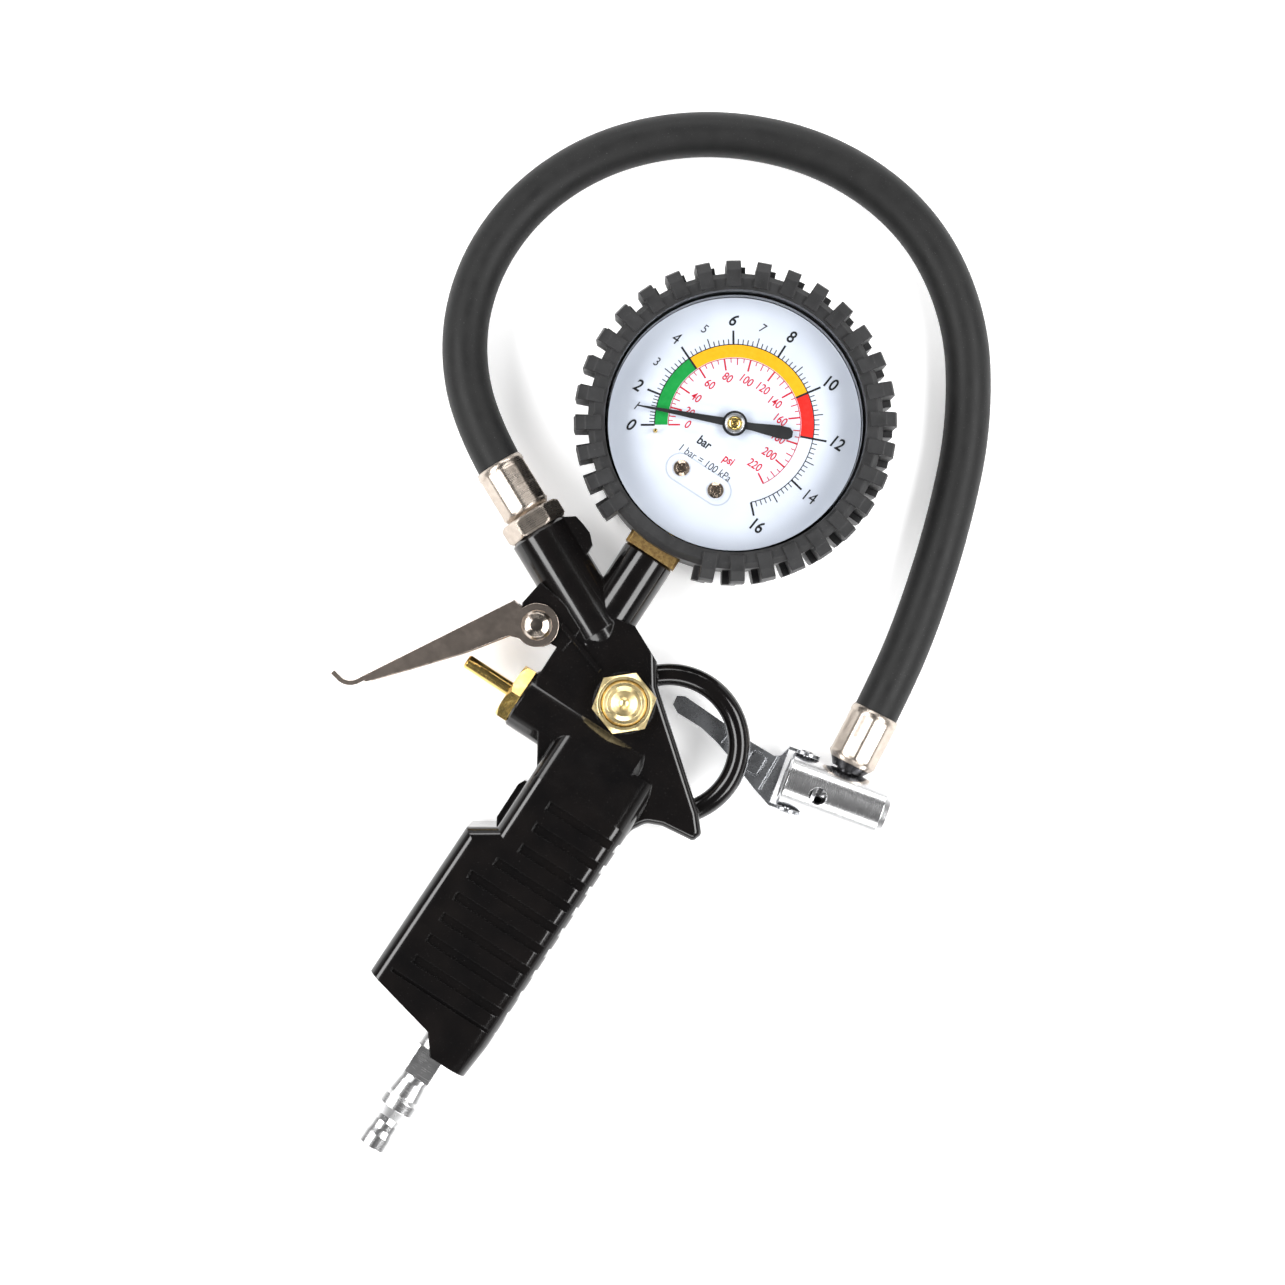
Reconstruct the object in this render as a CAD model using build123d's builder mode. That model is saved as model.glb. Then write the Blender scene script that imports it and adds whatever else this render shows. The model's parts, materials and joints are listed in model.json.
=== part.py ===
from build123d import *
import os
from math import acos, cos, pi, radians, sin, tan

# Pistol-grip tyre inflator with a dial pressure gauge, a short hose and a lever chuck.
# It lies on its side on a table, dial up. +Z is up and the table is z = 0, +Y runs from the
# air plug to the gauge, and the gauge stands on X = 0. Lengths are in millimetres.

os.makedirs("parts", exist_ok=True)

# ---- driving dimensions ----------------------------------------------------------------------
MID = 14.0                    # height of the tool's mid-plane, half the grip's width
FIT = 0.05                    # radial clearance of running and of screwed fits

GRIP_BACK_X = 33.2            # rear face of the grip
GRIP_TOP_Y = -6.5             # top of the grip, inside the valve boss
GRIP_SLOPE_Y = -19.5          # where its sides start to slope in towards the valve boss
HEEL_Y = -91.5                # bottom face of the grip
GROOVE_PITCH = 6.145          # finger grooves round the back of the grip
GROOVE_WIDTH = 2.3
GROOVE_DEPTH = 0.9

HEAD_HALF = 6.6               # half the thickness of the head's plate

VALVE_Y = -5.9                # axis of the trigger valve, along X
VALVE_BOSS_R = 8.0
VALVE_BOSS_X = (-7.6, 29.0)

BLEED_X, BLEED_Y = 14.8, 6.9  # axis of the bleed valve, along Z
BLEED_TOP = 21.0              # seat of its hexagon on the body

RING_X, RING_Y = 29.9, 4.2    # hanging ring cast with the body
RING_R = 17.5
RING_BAR_R = 2.75

STEM_TOP_Y = 41.0             # mouth of the gauge boss
HOSE_BOSS_Y = 18.5            # where the hose boss meets the gauge boss on X = 0
HOSE_BOSS_DEG = 154.5         # its direction in the XY plane
HOSE_BOSS_LENGTH = 29.5
PORT_R = 4.9                  # screwed ports of the gauge and of the hose
PASSAGE_R = 2.0

PIVOT_X, PIVOT_Y = -13.8, 11.25   # trigger rivet, along Z
TRIGGER_HALF = 8.0            # half the trigger's outer width
TRIGGER_SHEET = 1.2

PLUG_X = 22.2                 # axis of the air plug, along Y
PLUG_HEX_END = 99.2           # lower face of its hexagon
PLUG_TIP_Y = -120.5

GAUGE_Y = 79.4                # dial centre on X = 0
CASE_R = 33.4
CASE_BACK_Z = 2.6
CASE_FRONT_Z = 26.0
DIAL_Z = 22.0
BOOT_R = 36.0
BOOT_TOOTH_R = 39.5
BOOT_TOP_Z = 33.6
BOOT_PITCHES = 32             # tooth spaces round the boot, three of them without teeth
BOOT_BARE = 3
BOOT_TREAD = 3.5              # width of one tooth

GEAR_MODULE = 0.25            # gauge movement
PINION_TEETH = 12
SECTOR_TEETH = 108            # teeth of the whole circle that the sector is cut from
BACKLASH = 0.06
SECTOR_DEG = -35.0            # direction of the sector's pivot from the dial centre
TUBE_R = 24.0                 # centreline of the Bourdon tube

HOSE_R = 5.7
FERRULE_R = 6.3
BARREL_R = 7.0                # chuck barrel
BARREL_LENGTH = 27.5
BARREL_X, BARREL_Y, BARREL_Z = 59.0, 12.9, 7.0   # centre of its lever end
BARREL_DEG = 12.83
LEVER_PIN_AT = 3.2            # its pins, from the barrel's lever end
NECK_AT = 13.3                # hose neck on the barrel, from the lever end
NECK_DEG = -84.1              # direction in which the hose comes down to the barrel


# ---- helpers ---------------------------------------------------------------------------------
def along(x, y, z, degrees):
    """Plane whose normal lies in the XY plane at an angle from +X, with +Z as its x direction."""
    direction = (cos(radians(degrees)), sin(radians(degrees)), 0)
    return Plane(origin=(x, y, z), x_dir=(0, 0, 1), z_dir=direction)


def turn(axis_plane, profile, mode=Mode.ADD, arc=360):
    """Turned solid round the plane's normal, from (radius, height) corners, in the current part."""
    side = Plane(axis_plane.origin, x_dir=axis_plane.x_dir, z_dir=-axis_plane.y_dir)
    with BuildSketch(side) as section:
        with BuildLine():
            Polyline(*profile, close=True)
        make_face()
    revolve(section.sketch, axis=Axis(axis_plane.origin, axis_plane.z_dir), revolution_arc=arc, mode=mode)


def rod(axis_plane, radius, start, end, mode=Mode.ADD):
    """Plain cylinder on the plane's normal between two heights, in the current part."""
    turn(axis_plane, [(0, start), (radius, start), (radius, end), (0, end)], mode)


def prism(axis_plane, across_flats, start, end, sides=6, spin=0, mode=Mode.ADD):
    """Regular prism on the plane's normal between two heights, in the current part."""
    with BuildSketch(axis_plane.offset(start)) as section:
        RegularPolygon(across_flats / 2, sides, major_radius=False, rotation=spin)
    extrude(section.sketch, amount=end - start, mode=mode)


def slab(outline, low, high, mode=Mode.ADD):
    """Straight-sided plate with the given XY corners between two heights, in the current part."""
    with BuildSketch(Plane.XY.offset(low)) as section:
        with BuildLine():
            Polyline(*outline, close=True)
        make_face()
    extrude(section.sketch, amount=high - low, mode=mode)


def coil(axis_plane, radius, wire, start, end, turns):
    """Open coil spring between two heights, in the current part."""
    pitch = (end - start - 2 * wire) / turns
    helix = Helix(pitch=pitch, height=pitch * turns, radius=radius)
    path = axis_plane.offset(start + wire).location * helix
    with BuildSketch(Plane(origin=path @ 0, z_dir=path % 0)) as section:
        Circle(wire)
    sweep(section.sketch, path=path, is_frenet=True)


def polar(radius, degrees, x=0.0, y=0.0):
    return (x + radius * cos(radians(degrees)), y + radius * sin(radians(degrees)))


VALVE = Plane(origin=(0, VALVE_Y, MID), x_dir=(0, 0, 1), z_dir=(1, 0, 0))
BLEED = Plane(origin=(BLEED_X, BLEED_Y, 0), x_dir=(1, 0, 0), z_dir=(0, 0, 1))
STEM = Plane(origin=(0, 0, MID), x_dir=(0, 0, 1), z_dir=(0, 1, 0))
PLUG = Plane(origin=(PLUG_X, 0, MID), x_dir=(0, 0, 1), z_dir=(0, -1, 0))
HOSE_BOSS = along(0, HOSE_BOSS_Y, MID, HOSE_BOSS_DEG)
PIVOT = Plane(origin=(PIVOT_X, PIVOT_Y, 0), x_dir=(1, 0, 0), z_dir=(0, 0, 1))
GAUGE = Plane(origin=(0, GAUGE_Y, 0), x_dir=(1, 0, 0), z_dir=(0, 0, 1))
BARREL = along(BARREL_X, BARREL_Y, BARREL_Z, BARREL_DEG)
NECK_X, NECK_Y = polar(NECK_AT, BARREL_DEG, BARREL_X, BARREL_Y)
NECK = along(NECK_X, NECK_Y, BARREL_Z, NECK_DEG + 180)

# ---- cast body -------------------------------------------------------------------------------
GRIP_OUTLINE = [
    (5.3, GRIP_TOP_Y), (5.3, -35.5), (-1.1, -39.6), (-1.6, -82.0), (18.4, -86.6), (22.1, HEEL_Y),
    (31.9, HEEL_Y), (GRIP_BACK_X - 0.5, -82.7), (GRIP_BACK_X, GRIP_TOP_Y),
]
with BuildPart() as grip:
    slab(GRIP_OUTLINE, 0, 2 * MID)
    # both sides slope in from the grip's full width to the valve boss
    with BuildSketch(Plane.YZ) as slope:
        for side in (1, -1):
            with BuildLine():
                Polyline((GRIP_SLOPE_Y, MID + side * MID), (0, MID + side * 4.5), (0, MID + side * 16),
                         (GRIP_SLOPE_Y, MID + side * 16), close=True)
            make_face()
    extrude(slope.sketch, amount=40, both=True, mode=Mode.SUBTRACT)
    fillet(grip.edges().filter_by(
        lambda edge: edge.center().X > 32 and edge.length > 10
        and abs(edge.center().Z - MID) > 9), radius=4.5)
    fillet(grip.edges().filter_by(
        lambda edge: edge.center().X < 6 and edge.length > 5 and edge.center().Y > -70
        and abs(edge.center().Z - MID) > 9), radius=3.4)

with BuildPart() as groove_core:
    add(grip.part)
    depth = 2 * MID - 2 * GROOVE_DEPTH
    with BuildSketch(Plane.XY.offset(GROOVE_DEPTH)) as core_face:
        with Locations((GRIP_BACK_X - GROOVE_DEPTH - 30, -50)):
            Rectangle(60, 100)
    extrude(core_face.sketch, amount=depth, mode=Mode.INTERSECT)

groove_starts = [12.8, 12.8, 12.8, 9.4] + [5.8] * 5
with BuildPart() as grooves:
    for row, start_x in enumerate(groove_starts):
        top = -23.0 - row * GROOVE_PITCH
        slab([(start_x, top), (36, top), (36, top - GROOVE_WIDTH), (start_x, top - GROOVE_WIDTH)],
             -1, 2 * MID + 1)
    slab([(2.6, -78.2), (36, -78.2), (36, -79.0), (2.6, -79.0)], -1, 2 * MID + 1)
    add(groove_core.part, mode=Mode.SUBTRACT)

HEAD_OUTLINE = [
    (-5.0, 22.0), (6.6, 24.3), (16.1, 19.8), (19.6, 14.8), (45.2, -6.0), (48.7, -10.0), (47.9, -12.6),
    (39.4, -13.6), (35.6, -15.2), (33.6, -18.6), (32.5, -26.0), (6.0, -26.0), (5.2, -18.0),
    (-1.0, -8.0), (-6.8, 0.0), (-6.8, 8.8), (-7.2, 14.5),
]
with BuildPart() as head:
    slab(HEAD_OUTLINE, MID - HEAD_HALF, MID + HEAD_HALF)
    fillet(head.edges().filter_by(Axis.Z).filter_by(lambda edge: edge.center().X > 46), radius=1.2)
    fillet(head.edges().filter_by(Axis.Z).filter_by(
        lambda edge: edge.center().X > 33 and -20 < edge.center().Y < -13), radius=3.0)
    ridge = head.edges().filter_by(
        lambda edge: abs(edge.center().Z - MID) > 6 and edge.length > 2.5 and edge.center().X > 15
        and edge.center().Y > -20
    )
    fillet(ridge, radius=2.0)

with BuildPart() as trigger_lug:
    lug_half = TRIGGER_HALF - TRIGGER_SHEET - 0.1
    slab([(-18.9, 20.5), (-19.9, 13.9), (-17.0, 9.0), (-8.5, 9.2), (-5.0, 9.5), (-4.0, 18.0)],
         MID - lug_half, MID + lug_half)
    rod(PIVOT, 5.0, MID - lug_half, MID + lug_half)

with BuildPart() as hanging_ring:
    with BuildLine() as ring_path:
        CenterArc((RING_X, RING_Y, MID), RING_R, start_angle=-42, arc_size=180)
    with BuildSketch(Plane(origin=ring_path.line @ 0, z_dir=ring_path.line % 0)) as ring_bar:
        Circle(RING_BAR_R)
    sweep(ring_bar.sketch, path=ring_path.line)

with BuildPart() as gun_body:
    add(grip.part)
    add(grooves.part, mode=Mode.SUBTRACT)
    add(head.part)
    add(trigger_lug.part)
    add(hanging_ring.part)
    # bosses of the valve, the gauge, the hose and the bleed valve
    turn(VALVE, [(0, VALVE_BOSS_X[0]), (VALVE_BOSS_R - 0.5, VALVE_BOSS_X[0]),
                 (VALVE_BOSS_R, VALVE_BOSS_X[0] + 0.5), (VALVE_BOSS_R, VALVE_BOSS_X[1] - 3),
                 (VALVE_BOSS_R - 3, VALVE_BOSS_X[1]), (0, VALVE_BOSS_X[1])])
    turn(STEM, [(0, 8.0), (4.8, 8.0), (6.8, 14.0), (6.8, STEM_TOP_Y - 0.6), (6.2, STEM_TOP_Y),
                (0, STEM_TOP_Y)])
    turn(HOSE_BOSS, [(0, -4), (6.0, -4), (7.8, 0), (7.8, HOSE_BOSS_LENGTH - 0.8),
                     (7.0, HOSE_BOSS_LENGTH), (0, HOSE_BOSS_LENGTH)])
    turn(BLEED, [(0, MID), (7.6, MID), (7.6, BLEED_TOP), (0, BLEED_TOP)])
    # casting pad on top of the hose boss, and the small boss on the front of the grip
    slab([(-23.4, 37.2), (-20.6, 39.2), (-18.2, 38.6), (-15.4, 37.6), (-13.2, 35.4), (-13.0, 28.0),
          (-22.0, 30.0)], MID - 3.6, MID + 3.6)
    # raised rib of the casting from the trigger's lug towards the bleed valve
    slab([(-8.6, 15.2), (-8.9, 14.2), (5.2, 9.8), (5.5, 10.8)], MID, MID + HEAD_HALF + 0.9)
    slab([(8.0, -22.7), (4.6, -22.7), (3.7, -24.5), (3.7, -34.2), (4.8, -36.0), (8.0, -36.0)],
         MID - 4.0, MID + 4.0)
    # air passages: plug, grip, valve chamber, riser, hose and bleed valve
    rod(PLUG, 5.8, 82.0, 95.0, Mode.SUBTRACT)
    rod(PLUG, 3.5, -VALVE_Y, 83.0, Mode.SUBTRACT)
    rod(VALVE, 5.55, VALVE_BOSS_X[0] - 1, -1.6, Mode.SUBTRACT)
    rod(VALVE, 4.6, -2.0, 9.0, Mode.SUBTRACT)
    rod(VALVE, 4.1, 8.0, 26.0, Mode.SUBTRACT)
    rod(STEM, PASSAGE_R, VALVE_Y, STEM_TOP_Y, Mode.SUBTRACT)
    rod(STEM, PORT_R, STEM_TOP_Y - 10, STEM_TOP_Y + 1, Mode.SUBTRACT)
    rod(HOSE_BOSS, PASSAGE_R - 0.3, 0, HOSE_BOSS_LENGTH, Mode.SUBTRACT)
    rod(HOSE_BOSS, PORT_R, HOSE_BOSS_LENGTH - 10, HOSE_BOSS_LENGTH + 1, Mode.SUBTRACT)
    rod(BLEED, 5.05, 15.0, BLEED_TOP + 1, Mode.SUBTRACT)
    rod(BLEED, 3.0, 9.5, 16.0, Mode.SUBTRACT)
    rod(along(BLEED_X, BLEED_Y, 12.5, 180), 1.5, 0, BLEED_X, Mode.SUBTRACT)
    rod(PIVOT, 2.0 + FIT, 0, 2 * MID, Mode.SUBTRACT)
gun_body.part.label = "gun_body"
export_step(gun_body.part, "parts/gun_body.step")

# ---- air plug --------------------------------------------------------------------------------
with BuildPart() as inlet_plug:
    plug_tip = -PLUG_TIP_Y
    prism(PLUG, 12.0, -HEEL_Y, PLUG_HEX_END, spin=30)
    turn(PLUG, [
        (0, 84.0), (5.3, 84.0), (5.8 - FIT, 84.6), (5.8 - FIT, -HEEL_Y), (5.2, PLUG_HEX_END),
        (5.0, 101.0), (5.7, 105.0), (6.3, 106.0), (6.3, 108.6), (4.7, 111.4), (4.2, 113.0),
        (4.2, 115.0), (4.7, 116.6), (4.7, plug_tip - 0.6), (4.2, plug_tip), (0, plug_tip),
    ])
    rod(PLUG, 2.9, 83.0, plug_tip + 1, Mode.SUBTRACT)
inlet_plug.part.label = "inlet_plug"
export_step(inlet_plug.part, "parts/inlet_plug.step")

# ---- trigger valve ---------------------------------------------------------------------------
with BuildPart() as valve_packing_nut:
    nut_face = VALVE_BOSS_X[0]
    prism(VALVE, 14.2, nut_face - 3.3, nut_face)
    turn(VALVE, [(0, nut_face - 3.3), (7.1, nut_face - 3.3), (8.5, nut_face - 2.2), (8.5, nut_face),
                 (0, nut_face)], Mode.INTERSECT)
    rod(VALVE, 5.5, nut_face, -1.7)
    rod(VALVE, 1.8 + FIT, -20, 0, Mode.SUBTRACT)
    rod(VALVE, 3.2, -4.8, 0, Mode.SUBTRACT)
valve_packing_nut.part.label = "valve_packing_nut"
export_step(valve_packing_nut.part, "parts/valve_packing_nut.step")

with BuildPart() as valve_stem_oring:
    with BuildSketch(Plane(origin=(0, VALVE_Y, MID), x_dir=(1, 0, 0), z_dir=(0, 0, 1))) as oring_section:
        with Locations((-3.9, 2.52)):
            Circle(0.64)
    revolve(oring_section.sketch, axis=Axis((0, VALVE_Y, MID), (1, 0, 0)))
valve_stem_oring.part.label = "valve_stem_oring"
export_step(valve_stem_oring.part, "parts/valve_stem_oring.step")

with BuildPart() as push_rod:
    turn(VALVE, [(0, -23.9), (1.5, -23.9), (1.8, -23.5), (1.8, 2.0), (1.0, 2.6), (1.0, 8.6), (0, 8.6)])
push_rod.part.label = "push_rod"
export_step(push_rod.part, "parts/push_rod.step")

with BuildPart() as valve_seat:
    turn(VALVE, [(1.9, 5.0), (4.6 - FIT / 2, 5.0), (4.6 - FIT / 2, 7.4), (2.9, 7.4), (2.4, 8.0), (1.9, 8.0)])
valve_seat.part.label = "valve_seat"
export_step(valve_seat.part, "parts/valve_seat.step")

with BuildPart() as poppet_seal:
    turn(VALVE, [(1.0 + FIT, 8.02), (3.1, 8.02), (3.1, 8.6), (1.0 + FIT, 8.6)])
poppet_seal.part.label = "poppet_seal"
export_step(poppet_seal.part, "parts/poppet_seal.step")

with BuildPart() as valve_poppet:
    turn(VALVE, [(0, 8.6), (3.3, 8.6), (3.3, 10.6), (1.6, 10.6), (1.6, 16.0), (0, 16.0)])
valve_poppet.part.label = "valve_poppet"
export_step(valve_poppet.part, "parts/valve_poppet.step")

with BuildPart() as valve_return_spring:
    coil(VALVE, 2.6, 0.3, 10.62, 25.95, 9)
valve_return_spring.part.label = "valve_return_spring"
export_step(valve_return_spring.part, "parts/valve_return_spring.step")

# ---- bleed valve -----------------------------------------------------------------------------
with BuildPart() as bleed_nut:
    prism(BLEED, 14.0, BLEED_TOP, BLEED_TOP + 4.4, spin=42)
    turn(BLEED, [(0, BLEED_TOP), (8.4, BLEED_TOP), (8.4, BLEED_TOP + 3.3), (6.6, BLEED_TOP + 4.4),
                 (0, BLEED_TOP + 4.4)], Mode.INTERSECT)
    rod(BLEED, 5.0, 15.2, BLEED_TOP)
    rod(BLEED, 5.9, BLEED_TOP + 0.8, BLEED_TOP + 5, Mode.SUBTRACT)
    rod(BLEED, 1.3, 15.0, BLEED_TOP + 1, Mode.SUBTRACT)
bleed_nut.part.label = "bleed_nut"
export_step(bleed_nut.part, "parts/bleed_nut.step")

with BuildPart() as bleed_button:
    cap = BLEED_TOP + 2.5
    turn(BLEED, [
        (0, 13.4), (1.2, 13.4), (1.2, cap), (5.7, cap), (5.7, cap + 1.6), (5.1, cap + 2.4),
        (4.3, cap + 2.5), (3.2, cap + 1.8), (1.5, cap + 1.4), (1.0, cap + 1.8), (0.5, cap + 2.0),
        (0, cap + 2.05),
    ])
bleed_button.part.label = "bleed_button"
export_step(bleed_button.part, "parts/bleed_button.step")

with BuildPart() as bleed_seal:
    turn(BLEED, [(1.2 + FIT, 14.2), (2.5, 14.2), (2.5, 15.18), (1.2 + FIT, 15.18)])
bleed_seal.part.label = "bleed_seal"
export_step(bleed_seal.part, "parts/bleed_seal.step")

with BuildPart() as bleed_retainer:
    turn(BLEED, [(1.2 + FIT / 2, 13.6), (2.3, 13.6), (2.3, 14.2), (1.2 + FIT / 2, 14.2)])
bleed_retainer.part.label = "bleed_retainer"
export_step(bleed_retainer.part, "parts/bleed_retainer.step")

with BuildPart() as bleed_spring:
    coil(BLEED, 1.9, 0.2, 9.52, 13.58, 4)
bleed_spring.part.label = "bleed_spring"
export_step(bleed_spring.part, "parts/bleed_spring.step")

# ---- trigger ---------------------------------------------------------------------------------
WEB_TOP = (-21.28, 13.2)      # middle of the pressed plate that the finger pulls
WEB_BEND = (-44.83, -27.0)
WEB_LIP = (-49.9, -25.95)
with BuildPart() as trigger_lever:
    with BuildSketch(Plane.XY.offset(MID - TRIGGER_HALF)) as web_section:
        with BuildLine():
            web_line = FilletPolyline(WEB_TOP, WEB_BEND, WEB_LIP, radius=4.0)
        trace(web_line, line_width=TRIGGER_SHEET)
    extrude(web_section.sketch, amount=2 * TRIGGER_HALF)
    # two cheeks, each with its eye on the rivet
    cheek = [WEB_TOP, (-18.6, 13.0), (-12.0, 8.0), (-15.6, 6.1), (-18.3, 5.2), (-25.3, -4.6), (-35.2, -16.3),
             (-41.6, -23.6), (-42.8, -23.3)]
    for low in (MID - TRIGGER_HALF, MID + TRIGGER_HALF - TRIGGER_SHEET):
        slab(cheek, low, low + TRIGGER_SHEET)
        rod(PIVOT, 5.45, low, low + TRIGGER_SHEET)
    rod(PIVOT, 2.0 + FIT / 2, 0, 2 * MID, Mode.SUBTRACT)
trigger_lever.part.label = "trigger_lever"
export_step(trigger_lever.part, "parts/trigger_lever.step")

with BuildPart() as trigger_rivet:
    rivet_low, rivet_high = MID - TRIGGER_HALF, MID + TRIGGER_HALF
    turn(PIVOT, [
        (0, rivet_low - 1.8), (1.6, rivet_low - 1.7), (3.0, rivet_low - 1.1), (3.75, rivet_low - 0.2),
        (3.75, rivet_low), (2.0, rivet_low), (2.0, rivet_high), (3.75, rivet_high),
        (3.75, rivet_high + 0.2), (3.0, rivet_high + 1.1), (1.6, rivet_high + 1.7), (0, rivet_high + 1.8),
    ])
trigger_rivet.part.label = "trigger_rivet"
export_step(trigger_rivet.part, "parts/trigger_rivet.step")

# ---- gauge: socket, case, boot, lens ---------------------------------------------------------
SCREW_Y = GAUGE_Y - 24.2       # the two case screws, behind the socket block

with BuildPart() as gauge_socket:
    block_foot, block_top = GAUGE_Y - 30.5, GAUGE_Y - 21.0
    rod(STEM, PORT_R - FIT, STEM_TOP_Y - 9.8, STEM_TOP_Y)
    prism(STEM, 14.0, STEM_TOP_Y, GAUGE_Y - CASE_R - 0.5, sides=4, spin=45)
    chamfer(gauge_socket.edges().filter_by(Axis.Y).filter_by(lambda edge: edge.length < 8), length=0.7)
    rod(STEM, 5.0, GAUGE_Y - CASE_R - 0.5, block_foot + 1)
    slab([(-8.5, block_foot), (8.5, block_foot), (8.5, block_top), (-8.5, block_top)], 8.0, 20.0)
    slab([(-8.0, block_top), (8.0, block_top), (8.0, GAUGE_Y - 12.8), (-8.0, GAUGE_Y - 12.8)], 8.0, 12.0)
    for side_x in (-5.0, 5.0):
        foot = Plane(origin=(side_x, SCREW_Y, 0), x_dir=(1, 0, 0), z_dir=(0, 0, 1))
        rod(foot, 2.6, CASE_BACK_Z + 1.0, 8.5)
        rod(foot, 1.3, CASE_BACK_Z + 0.5, 13.0, Mode.SUBTRACT)
    rod(STEM, 1.5, 30.0, GAUGE_Y - 24.0, Mode.SUBTRACT)
gauge_socket.part.label = "gauge_socket"
export_step(gauge_socket.part, "parts/gauge_socket.step")

with BuildPart() as gauge_case:
    turn(GAUGE, [
        (0, CASE_BACK_Z), (CASE_R - 1.5, CASE_BACK_Z), (CASE_R, CASE_BACK_Z + 1.5), (CASE_R, CASE_FRONT_Z),
        (CASE_R - 1.0, CASE_FRONT_Z), (CASE_R - 1.0, CASE_BACK_Z + 1.0), (0, CASE_BACK_Z + 1.0),
    ])
    rod(STEM, 5.0 + FIT, GAUGE_Y - CASE_R - 2, GAUGE_Y - CASE_R + 4, Mode.SUBTRACT)
    for side_x in (-5.0, 5.0):
        rod(Plane(origin=(side_x, SCREW_Y, 0), x_dir=(1, 0, 0), z_dir=(0, 0, 1)), 1.3, 0, 6,
            Mode.SUBTRACT)
gauge_case.part.label = "gauge_case"
export_step(gauge_case.part, "parts/gauge_case.step")

with BuildPart() as case_screws:
    for side_x in (-5.0, 5.0):
        screw_axis = Plane(origin=(side_x, SCREW_Y, 0), x_dir=(1, 0, 0), z_dir=(0, 0, 1))
        turn(screw_axis, [(0, 1.0), (2.2, 1.2), (2.2, CASE_BACK_Z), (1.25, CASE_BACK_Z), (1.25, 11.0),
                          (0, 11.0)])
        slab([(side_x - 1.6, SCREW_Y - 0.3), (side_x + 1.6, SCREW_Y - 0.3),
              (side_x + 1.6, SCREW_Y + 0.3), (side_x - 1.6, SCREW_Y + 0.3)], 0.9, 1.8, Mode.SUBTRACT)
case_screws.part.label = "case_screws"
export_step(case_screws.part, "parts/case_screws.step")

with BuildPart() as lens:
    turn(GAUGE, [
        (0, 28.4), (20.0, 28.1), (31.3, 27.2), (31.3, 23.2), (CASE_R - 1.1, 23.2),
        (CASE_R - 1.1, CASE_FRONT_Z), (CASE_R, CASE_FRONT_Z), (CASE_R, 27.6), (31.6, 28.8), (20.0, 30.0), (0, 30.4),
    ])
lens.part.label = "lens"
export_step(lens.part, "parts/lens.step")

# One tread block of the boot, seen along its side: it starts on the front lip and runs down
# the barrel. The rear half is set round by a few degrees, like the tread of a tyre.
with BuildPart() as tread_block:
    side = Plane(origin=(0, GAUGE_Y + BOOT_TREAD / 2, 0), x_dir=(1, 0, 0), z_dir=(0, -1, 0))
    with BuildSketch(side) as tread_side:
        with BuildLine():
            Polyline((32.6, 31.5), (32.6, BOOT_TOP_Z), (36.6, BOOT_TOP_Z - 0.2), (38.9, BOOT_TOP_Z - 1.8),
                     (BOOT_TOOTH_R, BOOT_TOP_Z - 4.5), (BOOT_TOOTH_R, 16.0), (35.0, 16.0), (35.0, 31.0),
                     close=True)
        make_face()
    extrude(tread_side.sketch, amount=BOOT_TREAD)
with BuildPart() as tread_heel:
    with BuildSketch(side) as heel_side:
        with BuildLine():
            Polyline((35.0, 2.6), (38.6, 3.2), (BOOT_TOOTH_R, 6.0), (BOOT_TOOTH_R, 17.5), (35.0, 17.5),
                     close=True)
        make_face()
    extrude(heel_side.sketch, amount=BOOT_TREAD)

with BuildPart() as gauge_boot:
    turn(GAUGE, [
        (28.0, 0), (35.0, 0), (BOOT_R, 1.2), (BOOT_R, 31.0), (34.6, 32.8), (31.9, 32.8), (31.9, 29.2),
        (CASE_R + FIT, 28.2), (CASE_R + FIT, CASE_BACK_Z + 1.5), (CASE_R - 1.4, CASE_BACK_Z - FIT),
        (28.0, CASE_BACK_Z - FIT),
    ])
    pitch_deg = 360 / BOOT_PITCHES
    first = (BOOT_BARE + 1) / 2
    for tooth in range(BOOT_PITCHES - BOOT_BARE):
        angle = -90 + (first + tooth) * pitch_deg
        add(tread_block.part.rotate(Axis(GAUGE.origin, (0, 0, 1)), angle))
        add(tread_heel.part.rotate(Axis(GAUGE.origin, (0, 0, 1)), angle - 2.4))
    slab([(-7.1, 38.0), (7.1, 38.0), (7.1, 50.0), (-7.1, 50.0)], 6.9, 21.1, Mode.SUBTRACT)
gauge_boot.part.label = "gauge_boot"
export_step(gauge_boot.part, "parts/gauge_boot.step")

# ---- gauge: Bourdon tube and movement --------------------------------------------------------
TUBE_START_DEG, TUBE_END_DEG = 250.0, -13.0
TIP_STEP_DEG, TIP_END_DEG = -17.0, -30.0


def ring_piece(section_points, start_deg, end_deg, mode=Mode.ADD):
    """Section in (radius, height), swept round the gauge axis between two directions."""
    x_dir = (cos(radians(start_deg)), sin(radians(start_deg)), 0)
    turn(Plane(origin=GAUGE.origin, x_dir=x_dir, z_dir=(0, 0, 1)), section_points, mode, end_deg - start_deg)


with BuildPart() as bourdon_tube:
    outer, inner = 1.25, 0.8
    ring_piece([(TUBE_R - outer, 11.0), (TUBE_R, 10.0), (TUBE_R + outer, 11.0), (TUBE_R + outer, 17.0),
                (TUBE_R, 18.0), (TUBE_R - outer, 17.0)], TUBE_END_DEG, TUBE_START_DEG)
    ring_piece([(TUBE_R - inner, 11.2), (TUBE_R, 10.5), (TUBE_R + inner, 11.2), (TUBE_R + inner, 16.8),
                (TUBE_R, 17.5), (TUBE_R - inner, 16.8)], TUBE_END_DEG, TUBE_START_DEG, Mode.SUBTRACT)
bourdon_tube.part.label = "bourdon_tube"
export_step(bourdon_tube.part, "parts/bourdon_tube.step")

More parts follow.
